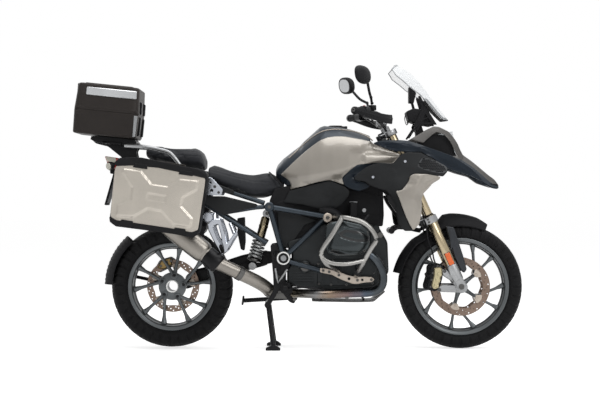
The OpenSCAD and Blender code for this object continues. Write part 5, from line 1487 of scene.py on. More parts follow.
turn = np.linspace(0, 5.5 * 2 * np.pi, 230)
sideAxis = unit(np.cross(down, [0, 1, 0]))
coil = (shockTop + down * (146 + 98 * turn[:, None] / turn[-1]) + 31 * (np.cos(turn)[:,
    None] * sideAxis + np.sin(turn)[:, None] * np.array([0, 1.0, 0])))
shock.append(sweep(coil, 6.2, 12, up=down, material=3))
makePiece("rearShock", "chassis", shock, "goldTube castAlloy darkSteel springGrey",
    ["rear_shock"])

# exhaust: headers bent as the guards allow, collector box, rear pipe and silencer
pipesRight = bent([(348, -232, 512), (400, -232, 474), (440, -222, 400), (434, -206, 330), (390, -196, 300),
    (124, -190, 290), (60, -150, 290), (4, -96, 290), (-48, -84, 290)], 21, 60, sides=28)
pipesLeft = bent([(348, 232, 512), (400, 232, 474), (440, 218, 400), (432, 196, 330), (384, 180, 296),
    (170, 150, 284), (20, 90, 284), (-56, 50, 290)], 21, 60, sides=28)
collector = boxShell(soft([(-42, 264), (-42, 317), (-150, 328), (-182, 317), (-182, 287), (-150, 264)], 10),
    -118, 82, 10, 1)
rearPipe = bent([(-146, -92, 304), (-192, -146, 346), (-300, -198, 400), (-422, -217, 458)], 34.5, 60,
    sides=40, material=2)
flanges = [turnedRing([(21, 0), (30, 0), (31, 2), (31, 9), (29, 11), (21, 11)], (360, s * 232, 503),
    (0.81, 0, -0.59), 32, 1) for s in (-1, 1)]
flanges.append(turnedRing([(35, -14), (37.5, -12), (37.5, 12), (35, 14)], (-300, -198, 400),
    unit([-108, -40, 60]), 40, 1))
exhaust = [pipesRight, pipesLeft, collector, rearPipe] + flanges
for s in (-1, 1):
    exhaust.append(turnedRing([(21.2, -9), (24, -8), (24, 8), (21.2, 9)],
        (250, s * 188 if s < 0 else 163, 293), (1, 0, 0.03), 30, 1))
makePiece("exhaustPipes", "chassis", exhaust, "heatSteel darkSteel brushedSteel",
    ["exhaust_pipes"])


def silencerShell():
    # an oval body that swells from its cone, rounded at the rear, with the outlet set in
    keys = np.array([(-428, -216.5, 463, 44, 44), (-440, -215, 472, 46, 46), (-474, -211, 499, 47, 47),
        (-484, -210.3, 507, 55, 55), (-520, -208, 535, 58, 58), (-600, -202, 598, 58, 58),
        (-660, -198, 645, 55, 56), (-688, -196, 667, 47, 49), (-698, -195.5, 674, 38, 40)], float)
    g = curve(keys, 80)
    return sweep(g[:, :3], g[:, 3:], 56, power=0.9, up=(0.35, 0, 1))


outlet = np.array([-698.0, -195.5, 674])
outletWay = unit([-216, 15, 169])
collarWay = unit([-70, 7, 57])
silencer = [silencerShell(), turnedRing([(38, 0), (48, 3), (51, 10), (51, 40), (49, 44), (49, 84), (46, 88),
    (38, 88)], (-403, -219, 442), collarWay, 60, 2), turnedRing([(20, -6), (24, -6), (26, 6), (22, 8),
    (20, 6)], outlet, outletWay, 32, 3), turned(box(0, 20.5, -6, -3), outlet, outletWay, 32, 2),
    slab([(-560, 600), (-520, 640), (-470, 640), (-500, 560)], 8, -178, -168, 1.5, 2)]
makePiece("silencer", "chassis", silencer, "brushedSteel champagneDark blackMetal darkSteel",
    ["silencer"])

# skid plate, footrests, pedal, lever
skid = [shell(np.stack([np.stack([np.array([x, y, z]) for y in np.linspace(-149, 149, 25)]) for x,
    z in curve([(72, 253), (120, 251), (385, 251), (412, 270), (450, 303)], 40)]),
    np.stack([np.stack([np.array([x, y, z]) for y in np.linspace(-149, 149, 25)]) for x,
    z in curve([(72, 257), (120, 255.5), (383, 255.5), (408, 275), (446, 306)], 40)]), 0)]
for x in (120, 340):
    skid += [turned(box(0, 6, 60, 90), (x, 0, 262), (0, s, 0), 20, 1) for s in (-1, 1)]
for x in range(110, 390, 40):
    skid.append(run([(x, -135, 251.5), (x, 135, 251.5)], 1.5, 0))
makePiece("skidPlate", "chassis", skid, "darkSteel blackMetal", ["skid_plate"])
pegs = []
for s in (-1, 1):
    one = [slab([(-90, 302), (-90, 350), (-42, 350), (-26, 302), (-60, 282)], 8, -164, -153, 2),
        run([(-66, -164, 322), (-66, -262, 326)], np.array([[13, 11]] * 5), power=0.7, bevel=1.5, material=0)]
    for k in range(7):
        y = -176 - k * 12.5
        one.append(plate(box(-80, -52, 330, 337), y - 4, y + 2, 1, 2))
    pegs += one if s < 0 else mirrored(one)
pegs += [bent([(-56, -171, 318), (20, -200, 330), (104, -228, 322), (126, -252, 320)], 5.8, 20, sides=14),
    bent([(-56, 171, 318), (40, 178, 322), (112, 204, 326), (130, 240, 326)], 5.8, 20, sides=14),
    turned(cutBox(0, 10, -12, 12, 1, 2), (126, -250, 320), (0, 1, 0), 20, 2),
    turned(cutBox(0, 10, -14, 10, 1, 2), (130, 248, 326), (0, 1, 0), 20, 2)]
castingLine = soft([(-467, 647), (-454, 667), (-423, 681), (-402, 681), (-375, 602), (-368, 554), (-316, 623),
    (-309, 609), (-371, 506), (-392, 492), (-402, 506), (-437, 568), (-464, 623)], 7)
castingHole = soft([(-438, 640), (-412, 652), (-396, 590), (-392, 540), (-418, 580)], 7)
pegSide = [plate(castingLine, -182, -170, 4, 1, [castingHole]), run([(-352, -142, 655), (-330, -172, 604)], 9,
    1), run([(-430, -142, 705), (-430, -172, 668)], 9, 1), run([(-388, -181, 512), (-396, -249, 540)],
    np.array([[9, 11]] * 4), power=0.7, material=2, bevel=1.5), turned([(0, 0), (17, 0), (20, 3), (20, 8),
    (24, 10), (25, 13), (25, 24), (22, 28), (0, 28)], (-464, -152, 688), (0, -1, 0), 40, 1)]
for k in range(20):
    c = polar(25, k * 18)
    pegSide.append(run([(-464 + c[0], -163, 688 + c[1]), (-464 + c[0], -175, 688 + c[1])], 2.2, 1))
pegs.append(run([(-118, -165, 425), (-104, -170, 350), (-56, -168, 420)], 6, 3, bevel=1))
pegs += bothSides(pegSide)
makePiece("footrests", "chassis", pegs, "blackMetal polished rubber castAlloy", ["footrests"])

# radiators behind the shrouds: a plain plate for each core
radiator = soft([(452, 800), (560, 812), (596, 690), (576, 640), (540, 660), (470, 760)], 10)
makePiece("radiators", "chassis", bothSides([plate(radiator, -239, -192, 2)]),
    "blackMetal darkSteel", ["radiators"])

# stands
stand = [turnedRing(box(8.1, 17, -117, 117), (-158, 0, 232), (0, 1, 0), 32),
    run([(-140, -118, 108), (-140, 118, 108)], 9.8, bevel=1)]
stand += bothSides([run([(-154, -98, 222), (-128, -150, 22)], 13, bevel=1),
    boxShell(soft([(-168, 0.2), (-167, 14), (-140, 26), (-112, 26), (-92, 12), (-92, 0.2)], 4, 3), -175, -133,
    3, 0)])
makePiece("centreStand", "centre_stand", stand, "blackMetal", ["centre_stand"])
sidePivot, sideTip, sideDirection = np.array([-24.0, 176, 256]), np.array([-292.0, 204, 238]), unit([0.112,
    -0.974, -0.195])
foot = np.array([math.cos(math.radians(6)), math.sin(math.radians(6)),
    0]) * math.sin(math.radians(-82)) + np.array([0, 0, math.cos(math.radians(-82))])
makePiece("sideStand", "side_stand", [turned(cutBox(0, 19, -11, 11, 2, 2), sidePivot,
    sideDirection, 36), sweep(resample([sidePivot + [-10, 1, -1], sideTip], 30, closed=False), 11.8, 24,
    bevel=1.5), turned(cutBox(0, 26, 0, 9, 2, 2), sideTip, foot, 36)], "blackMetal", ["side_stand"])
print("stage: engine and frame made")

# rear: hugger, grab rails, rack, tail light and plate bracket


def guardSheet(axle, r, start, end, half, droop, thick, ribs, material=0, rows=90, cols=33,
        swell=((0, 0), (360, 0))):
    # a sheet round a wheel: radius r plus a swell by angle, less droop·|s|^2.6, widest at the middle
    t = np.linspace(0, 1, rows)[:, None]
    degrees = start + (end - start) * t
    a = np.radians(degrees)
    s = np.linspace(-1, 1, cols)[None]
    w = half[0] + (half[1] - half[0]) * np.sin(np.pi * t)
    base = r + table(degrees, swell) - droop * np.abs(s)**2.6
    rr = base + ribs * (np.cos(degrees * 1.7) > 0.2) * (np.abs(s) < 0.86)
    outer = np.stack([rr * np.cos(a), w * s, rr * np.sin(a)], -1) + axle
    inner = np.stack([(base - thick) * np.cos(a), w * s, (base - thick) * np.sin(a)], -1) + axle
    return shell(outer, inner, material)


hugger = [guardSheet(rearAxle, 317 + 37, 132, 178, (86, 93), 40, 8, 1.6)]
hugger += [run([(-712, 120, 338), (-968, 104, 392)], 9, bevel=1), run([(-704, 120, 354), (-944, 104, 452)], 9,
    bevel=1)]
makePiece("rearMudguard", "chassis", hugger, "blackPlastic", ["rear_mudguard"])
rail = curve([(-900, -120, 1060), (-860, -134, 1057), (-800, -152, 1052), (-730, -160, 1040),
    (-668, -160, 1022), (-630, -162, 984), (-608, -162, 952)], 60)
rails = bothSides([sweep(rail, np.array([[8, 10.5]] * 60), 20, bevel=2),
    turned([(0, 0), (14, 0), (15, 2), (15, 8), (12, 10), (0, 10)], (-608, -160, 950), (0, 1, 0), 24, 1)])
makePiece("grabRails", "chassis", rails, "castAlloy blackMetal", ["grab_rails"])
rackSide = soft([(-1076, 1092), (-1056, 1072), (-992, 1056), (-922, 1000), (-900, 967), (-832, 967),
    (-846, 1030), (-827, 1062), (-840, 1078)], 8)
rack = bothSides([plate(rackSide, -60, -48, 2), plate(rackSide, -20, -12, 1.5)])
top = [(-1078, 1092), (-1074, 1108), (-1040, 1111), (-850, 1091), (-838, 1076), (-840, 1066), (-910, 1064),
    (-990, 1068), (-1056, 1080)]
rack.append(plate(top, -112, 112, 1.5))
for u in range(6):
    x = -1040 + u * 34
    rack.append(plate([(x, 1085 - u * 2.5), (x + 14, 1084 - u * 2.5), (x + 14, 1088.5 - u * 2.5),
        (x, 1090 - u * 2.5)], -58, 58, 1))
rack += bothSides([slab([(-1020, 1082), (-1010, 1070), (-916, 1062), (-916, 1074)], 4, -129, -58, 2,
    steps=3)])
makePiece("luggageRack", "chassis", rack, "blackMetal", ["luggage_rack"])
lamp = soft([(-1011, 1007), (-936, 996), (-926, 990), (-926, 946), (-956, 938), (-991, 951)], 8)
tail = [boxShell(lamp, -61, 61, 10, 0),
        slab([(-934, 999), (-890, 996), (-884, 920), (-930, 936)], 6, -50, 50, 4, 2),
        slab([(-1005, 1004), (-952, 997), (-950, 972), (-998, 978)], 3, -62.5, 62.5, 1, 3, steps=3)]
tail.append(boxShell(soft([(-952, 925), (-959, 925), (-1008, 753), (-1000, 749)], 2, 3), -91, 91, 3, 2))
tail.append(slab([(-984, 943), (-984, 915), (-881, 901), (-881, 925)], 6, -39, 39, 3, 2, steps=3))
tail.append(plate([(-952, 906), (-955, 906), (-998, 762), (-995, 761)], -84, 84, 0.5, 4))
for s in (-1, 1):
    tail.append(run([(-962, s * 60, 962), (-966, s * 128, 956)], 6.8, 2))
    tail.append(turned([(0, -4), (14, -4), (20, 4), (22, 12), (22, 24), (20, 28), (0, 28)],
        (-960, s * 130, 956), unit([-22, s * 22, -6]), 32, 2))
    tail.append(turned([(0, 0), (19, 0), (17, 4), (0, 6)], np.array([-960, s * 130, 956])
        + unit([-22, s * 22, -6]) * 28, unit([-22, s * 22, -6]), 32, 3))
makePiece("tailLight", "chassis", tail, "redLens castAlloy blackPlastic amberLens blueGrey",
    ["tail_light"])
makePiece("tailCover", "chassis", bothSides([slab([(-485, 797), (-393, 797), (-222, 756),
    (-210, 744), (-387, 698), (-487, 758)], 8, -142, -138, 1.5), slab([(-900, 1000), (-650, 950), (-470, 880),
    (-330, 826), (-330, 806), (-470, 830), (-640, 880), (-890, 960)], 10, -150, -138, 3)]), "brownBlack")
print("stage: rear made")

# fork: everything here is drawn up the steering axis and turned by steer
legX, legY, forkTop, bridge = 44, 105, 880, 385


def leg():
    at = (legX, -legY, 0)
    parts = [turned([(0, 355), (19.8, 355), (20.5, 356), (20.5, 884), (19.5, 886), (0, 886)], at, (0, 0, 1),
        44, 0), turned([(0, 118), (27, 118), (28, 120), (28, 403), (26.5, 405), (0, 405)], at, (0, 0, 1), 48,
        0), turnedRing([(20.6, 403), (24, 403), (25, 405), (24, 412), (20.6, 413)], at, (0, 0, 1), 40, 2),
        turned([(0, 884), (15, 884), (15.5, 886), (15.5, 892), (14, 894), (0, 894)], at, (0, 0, 1), 6, 3),
        turned([(0, 38), (24, 38), (29, 44), (29.5, 118), (28.6, 122), (28, 135), (0, 135)], at, (0, 0, 1),
        48, 1), turnedRing(cutBox(12.6, 31, -17, 17, 2, 2), (legX, -legY, 0), (0, 1, 0), 44, 1),
        slab([(18, 6), (66, 6), (70, 50), (14, 50)], 8, -121, -89, 5, 1)]
    parts.append(turned(box(9, 12.4, 0, 3), (legX, -124, 0), (0, -1, 0), 30, 3))
    parts.append(slab([(34, 128), (58, 128), (60, 132), (60, 190), (57, 194), (35, 194), (32, 190),
        (32, 132)], 4, -137, -131, 2, 4, steps=3))
    parts.append(plate(box(30, 62, 126, 196), -134, -126, 1.5, 2))
    return parts


legs = leg()
footWebs = [slab([(745, 418), (770, 418), (796, 383), (826, 358), (820, 341), (773, 372), (750, 387)], 7,
    -112, -98, 3, 1), slab([(722, 318), (742, 336), (822, 336), (838, 348), (857, 355), (874, 333),
    (862, 306), (838, 296), (743, 299), (723, 304)], 6, -112, -98, 3, 1),
    slab([(773, 433), (816, 448), (845, 383), (870, 348), (862, 306), (831, 306), (814, 348), (789, 383)], 9,
    -131, -110, 5, 1)]
footWebs += bolts(((760, 408), (733, 311)), -111, 9, 8, 3)
footWebs.append(turned([(0, 0), (14, 0), (15, 2), (15, 4), (0, 4)], (846, -130, 328), (0, -1, 0), 30, 3))
makePiece("forkLegs", "steering", [steered(p) for p in bothSides(legs)] + bothSides(footWebs),
    "goldTube castAlloy blackPlastic darkSteel orange", ["fork_legs"])
clampRing = [(28.1, -19), (33, -19), (35, -16), (35, 16), (33, 18), (28.1, 18)]
yokes = bothSides([turnedRing(clampRing, (legX, -legY, bridge), (0, 0, 1), 48),
    turnedRing(cutBox(20.6, 30, -14, 14, 2, 3), (legX, -legY, forkTop), (0, 0, 1), 44),
    turned(box(0, 6, 0, 6), (legX - 16, -137.5, bridge - 8), (0, -1, 0), 16, 1),
    turned(box(0, 6, 0, 6), (legX - 16, -137.5, bridge + 8), (0, -1, 0), 16, 1),
    slab([(12, bridge - 16), (44, bridge - 16), (44, bridge + 15), (12, bridge + 15)], 4, -139, -128, 2,
    steps=3), slab(box(8, 48, 888, 922), 6, -64, -32, 3)])


def flatPlate(outline, z0, z1, bevel=3, material=0):
    # a plate drawn over x, y and made solid between two heights
    p, f, m = plate(np.array(outline, float), z0, z1, bevel, material)
    return (p[:, [0, 2, 1]], f, m)


lowerPlate = [(-20, -22), (6, -60), (10, -78), (40, -76), (50, -60), (50, 60), (40, 76), (10, 78), (6, 60),
    (-20, 22)]
yokes += [flatPlate(soft(lowerPlate, 10), bridge - 14, bridge + 16), flatPlate(soft(lowerPlate, 10),
    forkTop - 11, forkTop + 11), turnedRing([(14.1, -16), (33, -16), (34, -14), (34, 12), (30, 14),
    (14.1, 14)], (0, 0, forkTop), (0, 0, 1), 44), turned([(0, 12), (22, 12), (22, 20), (18, 22), (0, 22)],
    (0, 0, forkTop), (0, 0, 1), 6, 1)]
makePiece("forkYokes", "steering", [steered(p) for p in yokes], "castAlloy darkSteel",
    ["fork_yokes"])
axle = [moved(turnedRing(box(9, 12.4, -128, 128), (0, 0, 0), (0, 1, 0), 32), shift=frontAxle)]
makePiece("frontAxle", "steering", axle, "darkSteel", ["front_axle"])
eye = steer((-26, 0, bridge - 32))
wish = bothSides([tube([(476, -96, 612), (520, -92, 636), eye + [0, -14, 0]], 12, 20, bevel=1),
    run([(484, -60, 617), (484, -127, 617)], 16, bevel=2)])
wish += [steered(turnedRing([(14.1, bridge - 36), (22, bridge - 36), (22, bridge - 19), (14.1, bridge - 19)],
    (0, 0, 0), (0, 0, 1), 32)), steered(turned([(0, bridge - 30), (13.9, bridge - 30), (13.9, bridge + 22),
    (0, bridge + 22)], (0, 0, 0), (0, 0, 1), 28, 1)), run([(484, -62, 617), (484, 62, 617)], 15)]
makePiece("forkWishbone", "chassis", wish, "blackMetal darkSteel", ["fork_wishbone"])

# callipers: a ribbed gold body each side, with its dark back half, pads' pins and the hose
darkHalf = [(689, 432), (704, 444), (744, 441), (768, 428), (751, 414), (749, 407), (751, 377), (734, 312),
    (709, 302), (669, 312), (667, 330), (681, 377), (674, 387), (686, 397), (686, 422)]
goldHalf = [(705, 425), (744, 428), (749, 407), (724, 316), (701, 315), (692, 338), (704, 388)]
call = [slab(darkHalf, 6, -99, -79, 5, 1), slab(np.array(darkHalf) - [10, 0], 6, -59, -51, 3, 1),
    slab([(668, 320), (682, 377), (690, 432), (704, 440), (704, 400), (690, 318)], 5, -82, -56, 2, 1,
    steps=3), slab(goldHalf, 8, -116, -97, 5)]
for x, z in ((706, 334), (714, 364), (722, 394)):
    call.append(slab([(x - 3, z - 9), (x + 22, z - 14), (x + 25, z + 3), (x, z + 8)], 5, -119, -114, 2))
call += bolts(((688, 326), (693, 362), (699, 398), (724, 434), (738, 432)), -99, 6, 5, 2)
makePiece("frontCallipers", "steering", bothSides(call), "goldCaliper blackMetal darkSteel",
    ["front_calipers"])
hose = bothSides([tube([(716, -100, 440), (704, -112, 470), (697, -120, 502), (672, -122, 576),
    (664, -120, 636), (650, -100, 690)], 4, 40, sides=12)])
makePiece("brakeHoses", "steering", hose, "blackPlastic")

# front mudguard: the sheet over the tyre, its struts and their covers
frontSwell = ((66, 2), (76, 17), (98, 33), (104, 33), (110, 6), (115, -9), (129, -9), (136, 0), (168, 6))
skirt = 34 + np.maximum(table(np.linspace(66, 168, 90), frontSwell), 0)[:, None]
guard = [guardSheet(frontAxle, 325 + 28, 66, 168, (46, 73), skirt, 5, 0.0, swell=frontSwell)]
d = np.linspace(67, 167, 90)
a = np.radians(d)
edge = 353 + np.minimum(table(d, frontSwell), 0) - 34
for s in (-1, 1):
    w = 46 + 27 * np.sin(np.pi * np.linspace(0.01, 0.99, 90))
    guard.append(sweep(frontAxle + np.stack([edge * np.cos(a), s * w * 0.98, edge * np.sin(a)], -1),
        np.array([[2.6, 6]] * 90), 10, up=(0, 1, 0)))
strutCover = soft([(766, 641), (808, 636), (831, 566), (856, 490), (876, 416), (862, 397), (843, 412),
    (812, 477), (786, 566)], 9, 5)
guard += bothSides([plate(strutCover, -108, -86, 5, 1), slab([(792, 517), (824, 556), (812, 620), (784, 624)],
    6, -110, -104, 2, 1), plate([(770, 640), (804, 636), (826, 580), (786, 580)], -86, -66, 1.5, 1)])
makePiece("frontMudguard", "steering", guard, "blackPlastic blueGrey", ["front_mudguard"])

# handlebar, levers, reservoirs, switches, hand protectors and mirrors
barPath = [(437, -62, 1192), (424, -150, 1212), (352, -270, 1230), (290, -422, 1226)]
half = curve([(437, 0, 1192)] + barPath, 60)
bar = [sweep(np.vstack([half[:0:-1], half * [1, -1, 1]]), 13.8, 24, bevel=1.5)]
gripAxis = unit([-62, -152, -4])
gripEnd = np.array([290.0, -422, 1226])
grip = [turned([(14, 0), (17, 0), (18, 2), (18, 108), (17, 111), (14, 111)], gripEnd - gripAxis * 112,
    gripAxis, 36, 1), turned([(0, 0), (19, 0), (20, 2), (20, 20), (17, 24), (12, 24), (11, 21), (0, 21)],
    gripEnd, gripAxis, 36)]
for k in range(8):
    grip.append(turned([(18, 0), (18.6, 1.5), (18.6, 5), (18, 6.5)], gripEnd - gripAxis * (104 - k * 12),
        gripAxis, 36, 1))
for turn45 in (0, 1):
    c = gripEnd + gripAxis * 23
    grip.append(sweep(np.array([c + [-14, 0, 0], c + [14, 0, 0]]) if turn45
        else np.array([c + [0, 0, -14], c + [0, 0, 14]]), 2, 8))
control = [sweep(resample([(350, -276, 1230), (326, -324, 1229)], 12, closed=False), 25.5, 28, power=0.75,
    bevel=3), tube([(362, -262, 1226), (392, -290, 1222), (380, -340, 1220), (330, -412, 1216)],
    np.array([[4.5, 7]] * 40), 40, sides=14, bevel=1.5), turned([(0, 0), (21, 0), (22, 2), (22, 22), (20, 24),
    (20.5, 24), (20.5, 26), (0, 26)], (378, -244, 1236), (0, 0, 1), 36),
    sweep(resample([(378, -244, 1240), (357, -259, 1232)], 8, closed=False), 9.8, 16),
    turned([(0, 0), (6, 0), (6, 4), (4, 5), (0, 5)], (336, -304, 1254), (0, 0, 1), 18, 2),
    tube([(378, -240, 1226), (404, -190, 1198), (440, -110, 1170), (464, -44, 1144)], 4, 30, sides=10),
    tube([(366, -262, 1216), (410, -200, 1184), (446, -100, 1152), (470, -40, 1124)], 5, 30, sides=10)]
bar += bothSides(grip + control)
bar += bothSides([slab([(412, 1160), (430, 1170), (462, 1172), (476, 1190), (454, 1206), (424, 1206),
    (410, 1190)], 6, -66, -30, 3, 3)])
makePiece("handlebar", "steering", bar, "blackMetal rubber redLens castAlloy", ["handlebar"])


def handGuard():
    # a band along the path ahead of the fingers, crowned across its height and hollow behind
    path = curve([(274, -446, 1230, 12), (320, -452, 1216, 15), (372, -446, 1200, 20), (418, -420, 1188, 22),
        (452, -376, 1184, 23), (466, -322, 1186, 23), (460, -276, 1190, 19)], 50)
    p, h = path[:, :3], path[:, 3]
    flat = unit(np.gradient(p, axis=0) * [1, 1, 0])
    out = np.stack([-flat[:, 1], flat[:, 0], 0 * h], -1)
    out = out * np.sign((out * [1, -1, 0]).sum(1, keepdims=True))
    s = np.linspace(-1, 1, 19)
    crown = 10.5 + 2.6 * (1 - s**2) + 1.4 * ease((0.25 - np.abs(s - 0.1)) / 0.1)
    front = p[:, None] + out[:, None] * crown[None, :, None] + np.array([0, 0, 1.0]) * (s[None] * h[:,
        None])[..., None]
    rear = p[:, None] + out[:, None] * (crown[None, :, None] - 3.2) + np.array([0, 0, 1.0]) * (s[None] * h[:,
        None])[..., None]
    return shell(front, rear, 0)


guards = [handGuard(), run([(286, -438, 1226), (276, -446, 1230)], 9),
    run([(464, -280, 1190), (424, -256, 1208), (384, -238, 1222)], 5, bevel=1),
    bolt((276, -458, 1228), (-0.2, -1, 0), 10, 6, 1)]
makePiece("handGuards", "steering", bothSides(guards), "blackPlastic darkSteel",
    ["handguards"])


def mirror(centre, elbow):
    # a soft teardrop shell turned about its stalk, with the glass set in its rear face
    keys = np.array([(-16, 0.80), (-17, 0.86), (-12, 0.97), (-4, 1.0), (6, 0.96), (16, 0.82), (24, 0.58),
        (29, 0.3), (30, 0.06)], float)
    c = circle(48)
    shape = np.stack([76 * np.sign(c[:, 0]) * np.abs(c[:, 0])**0.78, 46 * np.sign(c[:, 1])
        * np.abs(c[:, 1])**0.82 + 6 * c[:, 0]], -1)
    rows = curve(keys, 40)
    g = np.stack([np.broadcast_to(rows[:, :1], (40, 48)), rows[:, 1:] * shape[:, 0],
        rows[:, 1:] * shape[:, 1]], -1)
    body = sheet(g, 0, wrapCols=True)
    body[1].append(np.arange(48)[None] + 39 * 48)
    body[1].append(np.arange(48)[None, ::-1])
    f = np.stack([np.full(48, -16.6), 0.76 * shape[:, 0], 0.76 * shape[:, 1]], -1)
    b = f + [2, 0, 0]
    glassPart = (np.vstack([f, b]), [np.arange(48)[None], np.arange(48)[None, ::-1] + 48,
        gridFaces(2, 48, wrapCols=True)], 1)
    a, e = math.radians(25), math.radians(-6)
    rz = np.array([[math.cos(a), -math.sin(a), 0], [math.sin(a), math.cos(a), 0], [0, 0, 1]])
    ry = np.array([[math.cos(e), 0, math.sin(e)], [0, 1, 0], [-math.sin(e), 0, math.cos(e)]])
    parts = [moved(p, rz @ ry, centre) for p in (body, glassPart)]
    parts += [run([(378, 244, 1266), (372, 262, 1300)], 6.4, bevel=1),
        tube([(372, 262, 1300), (np.array([372, 262, 1300]) + elbow) / 2 + [0, 4, -10], elbow], 6.9, 24,
        sides=16), turned([(0, -8), (5, -7), (7.6, -3), (8, 0), (7.6, 3), (5, 7), (0, 8)], (372, 262, 1300),
        (0, 0.6, 1), 24), turned([(6, 0), (9, 1), (9, 9), (6, 10)], (378, 244, 1267), (0, 0, 1), 6)]
    return parts


makePiece("mirrors", "steering", mirror((266, 398, 1402),
    np.array([296, 330, 1366])) + mirrored(mirror((326, 398, 1408), np.array([352, 330, 1372]))),
    "blackPlastic mirrorGlass", ["mirrors"])

# windscreen, its frame and the instrument panel with a bare navigation cradle
screenWidths = [(0, 104), (0.24, 122), (0.4, 134), (0.54, 168), (0.74, 186), (0.87, 168), (0.96, 112),
    (1, 58)]


def screenGrid(inset, rows=46, cols=41):
    t = np.linspace(0, 1, rows)[:, None]
    s = np.linspace(-1, 1, cols)[None]
    w = table(t, screenWidths)
    back = 0.0030 * (w * s)**2
    bulge = np.sin(np.pi * t**1.8)
    x = 790 + (523 - 790) * t + 16 * bulge - back - inset * 0.72
    z = 1197 + (1483 - 1197) * t + 18 * bulge - inset * 0.69 - 0.04 * back
    return np.stack(np.broadcast_arrays(x, w * s, z), -1)


outerScreen, innerScreen = screenGrid(0), screenGrid(4)
screenParts = [shell(outerScreen, innerScreen, 0)]
borderLine = np.vstack([outerScreen[:, 0], outerScreen[-1, 1:-1], outerScreen[::-1,
    -1]]) * 0.5 + np.vstack([innerScreen[:, 0], innerScreen[-1, 1:-1], innerScreen[::-1, -1]]) * 0.5
screenParts.append(sweep(borderLine + [-0.6, 0, -0.4], 2.6, 8, up=(1, 0, 1.0), material=1))
low = screenGrid(4.4)[:17]
lowIn = screenGrid(7.5)[:17]
screenParts.append(shell(low[:3], lowIn[:3], 2))
screenParts += [shell(low[:, :6], lowIn[:, :6], 2), shell(low[:, -6:], lowIn[:, -6:], 2)]
makePiece("windscreen", "chassis", screenParts, "screen paleGrey blackPlastic",
    ["windscreen"])
dashOutline = soft([(561, 1237), (574, 1190), (600, 1178), (690, 1162), (714, 1172), (690, 1213), (640, 1249),
    (600, 1255)], 8)
strut = soft([(620, 1130), (640, 1168), (722, 1168), (660, 1268), (634, 1321), (622, 1316), (642, 1250),
    (598, 1160)], 6)
dash = [boxShell(dashOutline, -87, 87, 8, 0)]
dash += bothSides([plate(strut, -98, -92, 1.5, holes=[soft([(650, 1180), (690, 1180), (660, 1226)], 5, 3)])])
dash.append(boxShell(soft([(628, 1042), (608, 1174), (640, 1177), (674, 1080), (669, 1042)], 6), -59, 59, 5,
    0))
dash += bothSides([run([(573, -98, 1098), (606, -96, 1149), (652, -94, 1196), (680, -92, 1208)], 5, 0)])
for y, r in ((-40, 32), (40, 26)):
    dash.append(turned([(r, 0), (r + 3, 1), (r + 3, 5), (r, 6), (r, 2), (0, 2)], (584, y, 1208),
        unit([-1, 0, 0.28]), 40, 1))
    dash.append(turned([(0, 2.5), (r - 1, 2.5), (r - 1, 3.2), (0, 3.2)], (584, y, 1208), unit([-1, 0, 0.28]),
        40, 2))
cradle = slab(box(-46, 46, 1285, 1369), 8, -589, -579, 2, holes=[round2(y, z, 2.3, 20) for y in (-19,
    19) for z in (1312, 1342)])
dash.append((np.stack([-cradle[0][:, 1], cradle[0][:, 0], cradle[0][:, 2]], -1), cradle[1], 0))
dash.append(slab([(586, 1284), (604, 1284), (617, 1336), (591, 1370), (586, 1370)], 3, -44, -26, 1.5,
    steps=3))
dash.append(slab([(586, 1284), (604, 1284), (617, 1336), (591, 1370), (586, 1370)], 3, 26, 44, 1.5, steps=3))
dash += bothSides([run([(596, -30, 1290), (610, -30, 1240)], 5)])
dash.append(tube([(561, -40, 1222), (556, -52, 1200), (566, -60, 1169), (580, -62, 1188)], 2.2, 30, sides=10))
makePiece("instrumentPanel", "chassis", dash, "blackPlastic darkSteel navy",
    ["instrument_panel"])
print("stage: front made")

stageLook = dict(
    floorColour=(0.93, 0.93, 0.93),
    floorGlow=0.66,
    skyForSurfaces=0.36,
    keyWatts=85,
    topWatts=120,
    fillWatts=30,
    floorHalf=60,
    floorDrop=0.0008)


def areaLamp(name, place, target, size, watts):
    # a soft rectangular lamp at a place, turned to face a target
    lamp = bpy.data.lights.new(name, "AREA")
    lamp.shape = "RECTANGLE"
    lamp.size, lamp.size_y = size
    lamp.energy = watts
    holder = bpy.data.objects.new(name, lamp)
    bpy.context.scene.collection.objects.link(holder)
    holder.location = place
    away = np.asarray(place, float) - np.asarray(target, float)
    flat = math.hypot(away[0], away[1])
    holder.rotation_euler = (math.atan2(flat, away[2]), 0, math.atan2(away[0], -away[1]))
    return holder


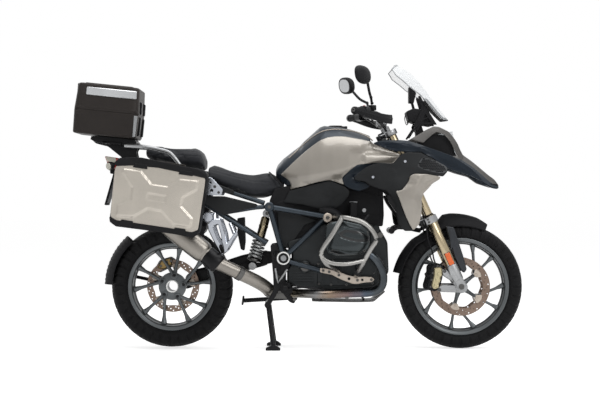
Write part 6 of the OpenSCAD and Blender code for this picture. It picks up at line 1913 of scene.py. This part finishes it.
def makeFloor():
    # a plain level sheet far larger than the machine, a hair below the tyre
    mesh = bpy.data.meshes.new("floor")
    half, drop = stageLook["floorHalf"], stageLook["floorDrop"]
    mesh.from_pydata([(x * half, y * half, -drop) for x, y in ((-1, -1), (1, -1), (1, 1), (-1, 1))], [],
        [(0, 1, 2, 3)])
    material = bpy.data.materials.new("floorSheet")
    material.use_nodes = True
    shader = material.node_tree.nodes["Principled BSDF"]
    shader.inputs["Base Color"].default_value = (*stageLook["floorColour"], 1)
    shader.inputs["Roughness"].default_value = 0.9
    shader.inputs["Specular IOR Level"].default_value = 0.0
    tree = material.node_tree
    path = addNode(tree, "ShaderNodeLightPath")
    seen = addNode(tree, "ShaderNodeMath", operation="MAXIMUM", sockets={0: path.outputs["Is Camera Ray"],
        1: path.outputs["Is Glossy Ray"]})
    glow = addNode(tree, "ShaderNodeMath", operation="MULTIPLY", sockets={0: seen.outputs[0],
        1: stageLook["floorGlow"]})
    shader.inputs["Emission Color"].default_value = (1, 1, 1, 1)
    tree.links.new(glow.outputs[0], shader.inputs["Emission Strength"])
    mesh.materials.append(material)
    floor = bpy.data.objects.new("floor", mesh)
    bpy.context.scene.collection.objects.link(floor)


def makeSky():
    # a plain world: white to the camera and in reflections, a little softer as light on the surfaces
    world = bpy.data.worlds.new("studio")
    bpy.context.scene.world = world
    world.use_nodes = True
    tree = world.node_tree
    back = tree.nodes["Background"]
    back.inputs["Color"].default_value = (1, 1, 1, 1)
    path = addNode(tree, "ShaderNodeLightPath")
    seen = addNode(tree, "ShaderNodeMath", operation="MAXIMUM", sockets={0: path.outputs["Is Camera Ray"],
        1: path.outputs["Is Transmission Ray"]})
    seen = addNode(tree, "ShaderNodeMath", operation="MAXIMUM", sockets={0: seen.outputs[0],
        1: path.outputs["Is Glossy Ray"]})
    level = addNode(tree, "ShaderNodeMapRange", sockets={"Value": seen.outputs[0],
        "To Min": stageLook["skyForSurfaces"], "To Max": 1.0})
    tree.links.new(level.outputs["Result"], back.inputs["Strength"])


makeFloor()
makeSky()
areaLamp("topLamp", (0.3, -0.6, 4.2), (0, 0, 0.6), (4.5, 2.4), stageLook["topWatts"])
areaLamp("keyLamp", (2.6, -4.2, 3.4), (0.1, 0, 0.7), (2.6, 1.8), stageLook["keyWatts"])
areaLamp("fillLamp", (-3.2, 3.6, 3.0), (0, 0, 0.7), (2.6, 1.8), stageLook["fillWatts"])

# a level camera, square to the machine's right side
viewLook = dict(place=(0.0095, -9.5, 0.777), turn=(math.pi / 2, 0, 0), lens=108.57, sensor=36, far=200)
camera = bpy.data.cameras.new("camera")
camera.sensor_width = viewLook["sensor"]
camera.lens = viewLook["lens"]
camera.clip_end = viewLook["far"]
viewer = bpy.data.objects.new("camera", camera)
viewer.location = viewLook["place"]
viewer.rotation_euler = viewLook["turn"]
bpy.context.scene.collection.objects.link(viewer)
bpy.context.scene.camera = viewer
bpy.context.scene.view_settings.view_transform = "Standard"
print("stage: studio made")
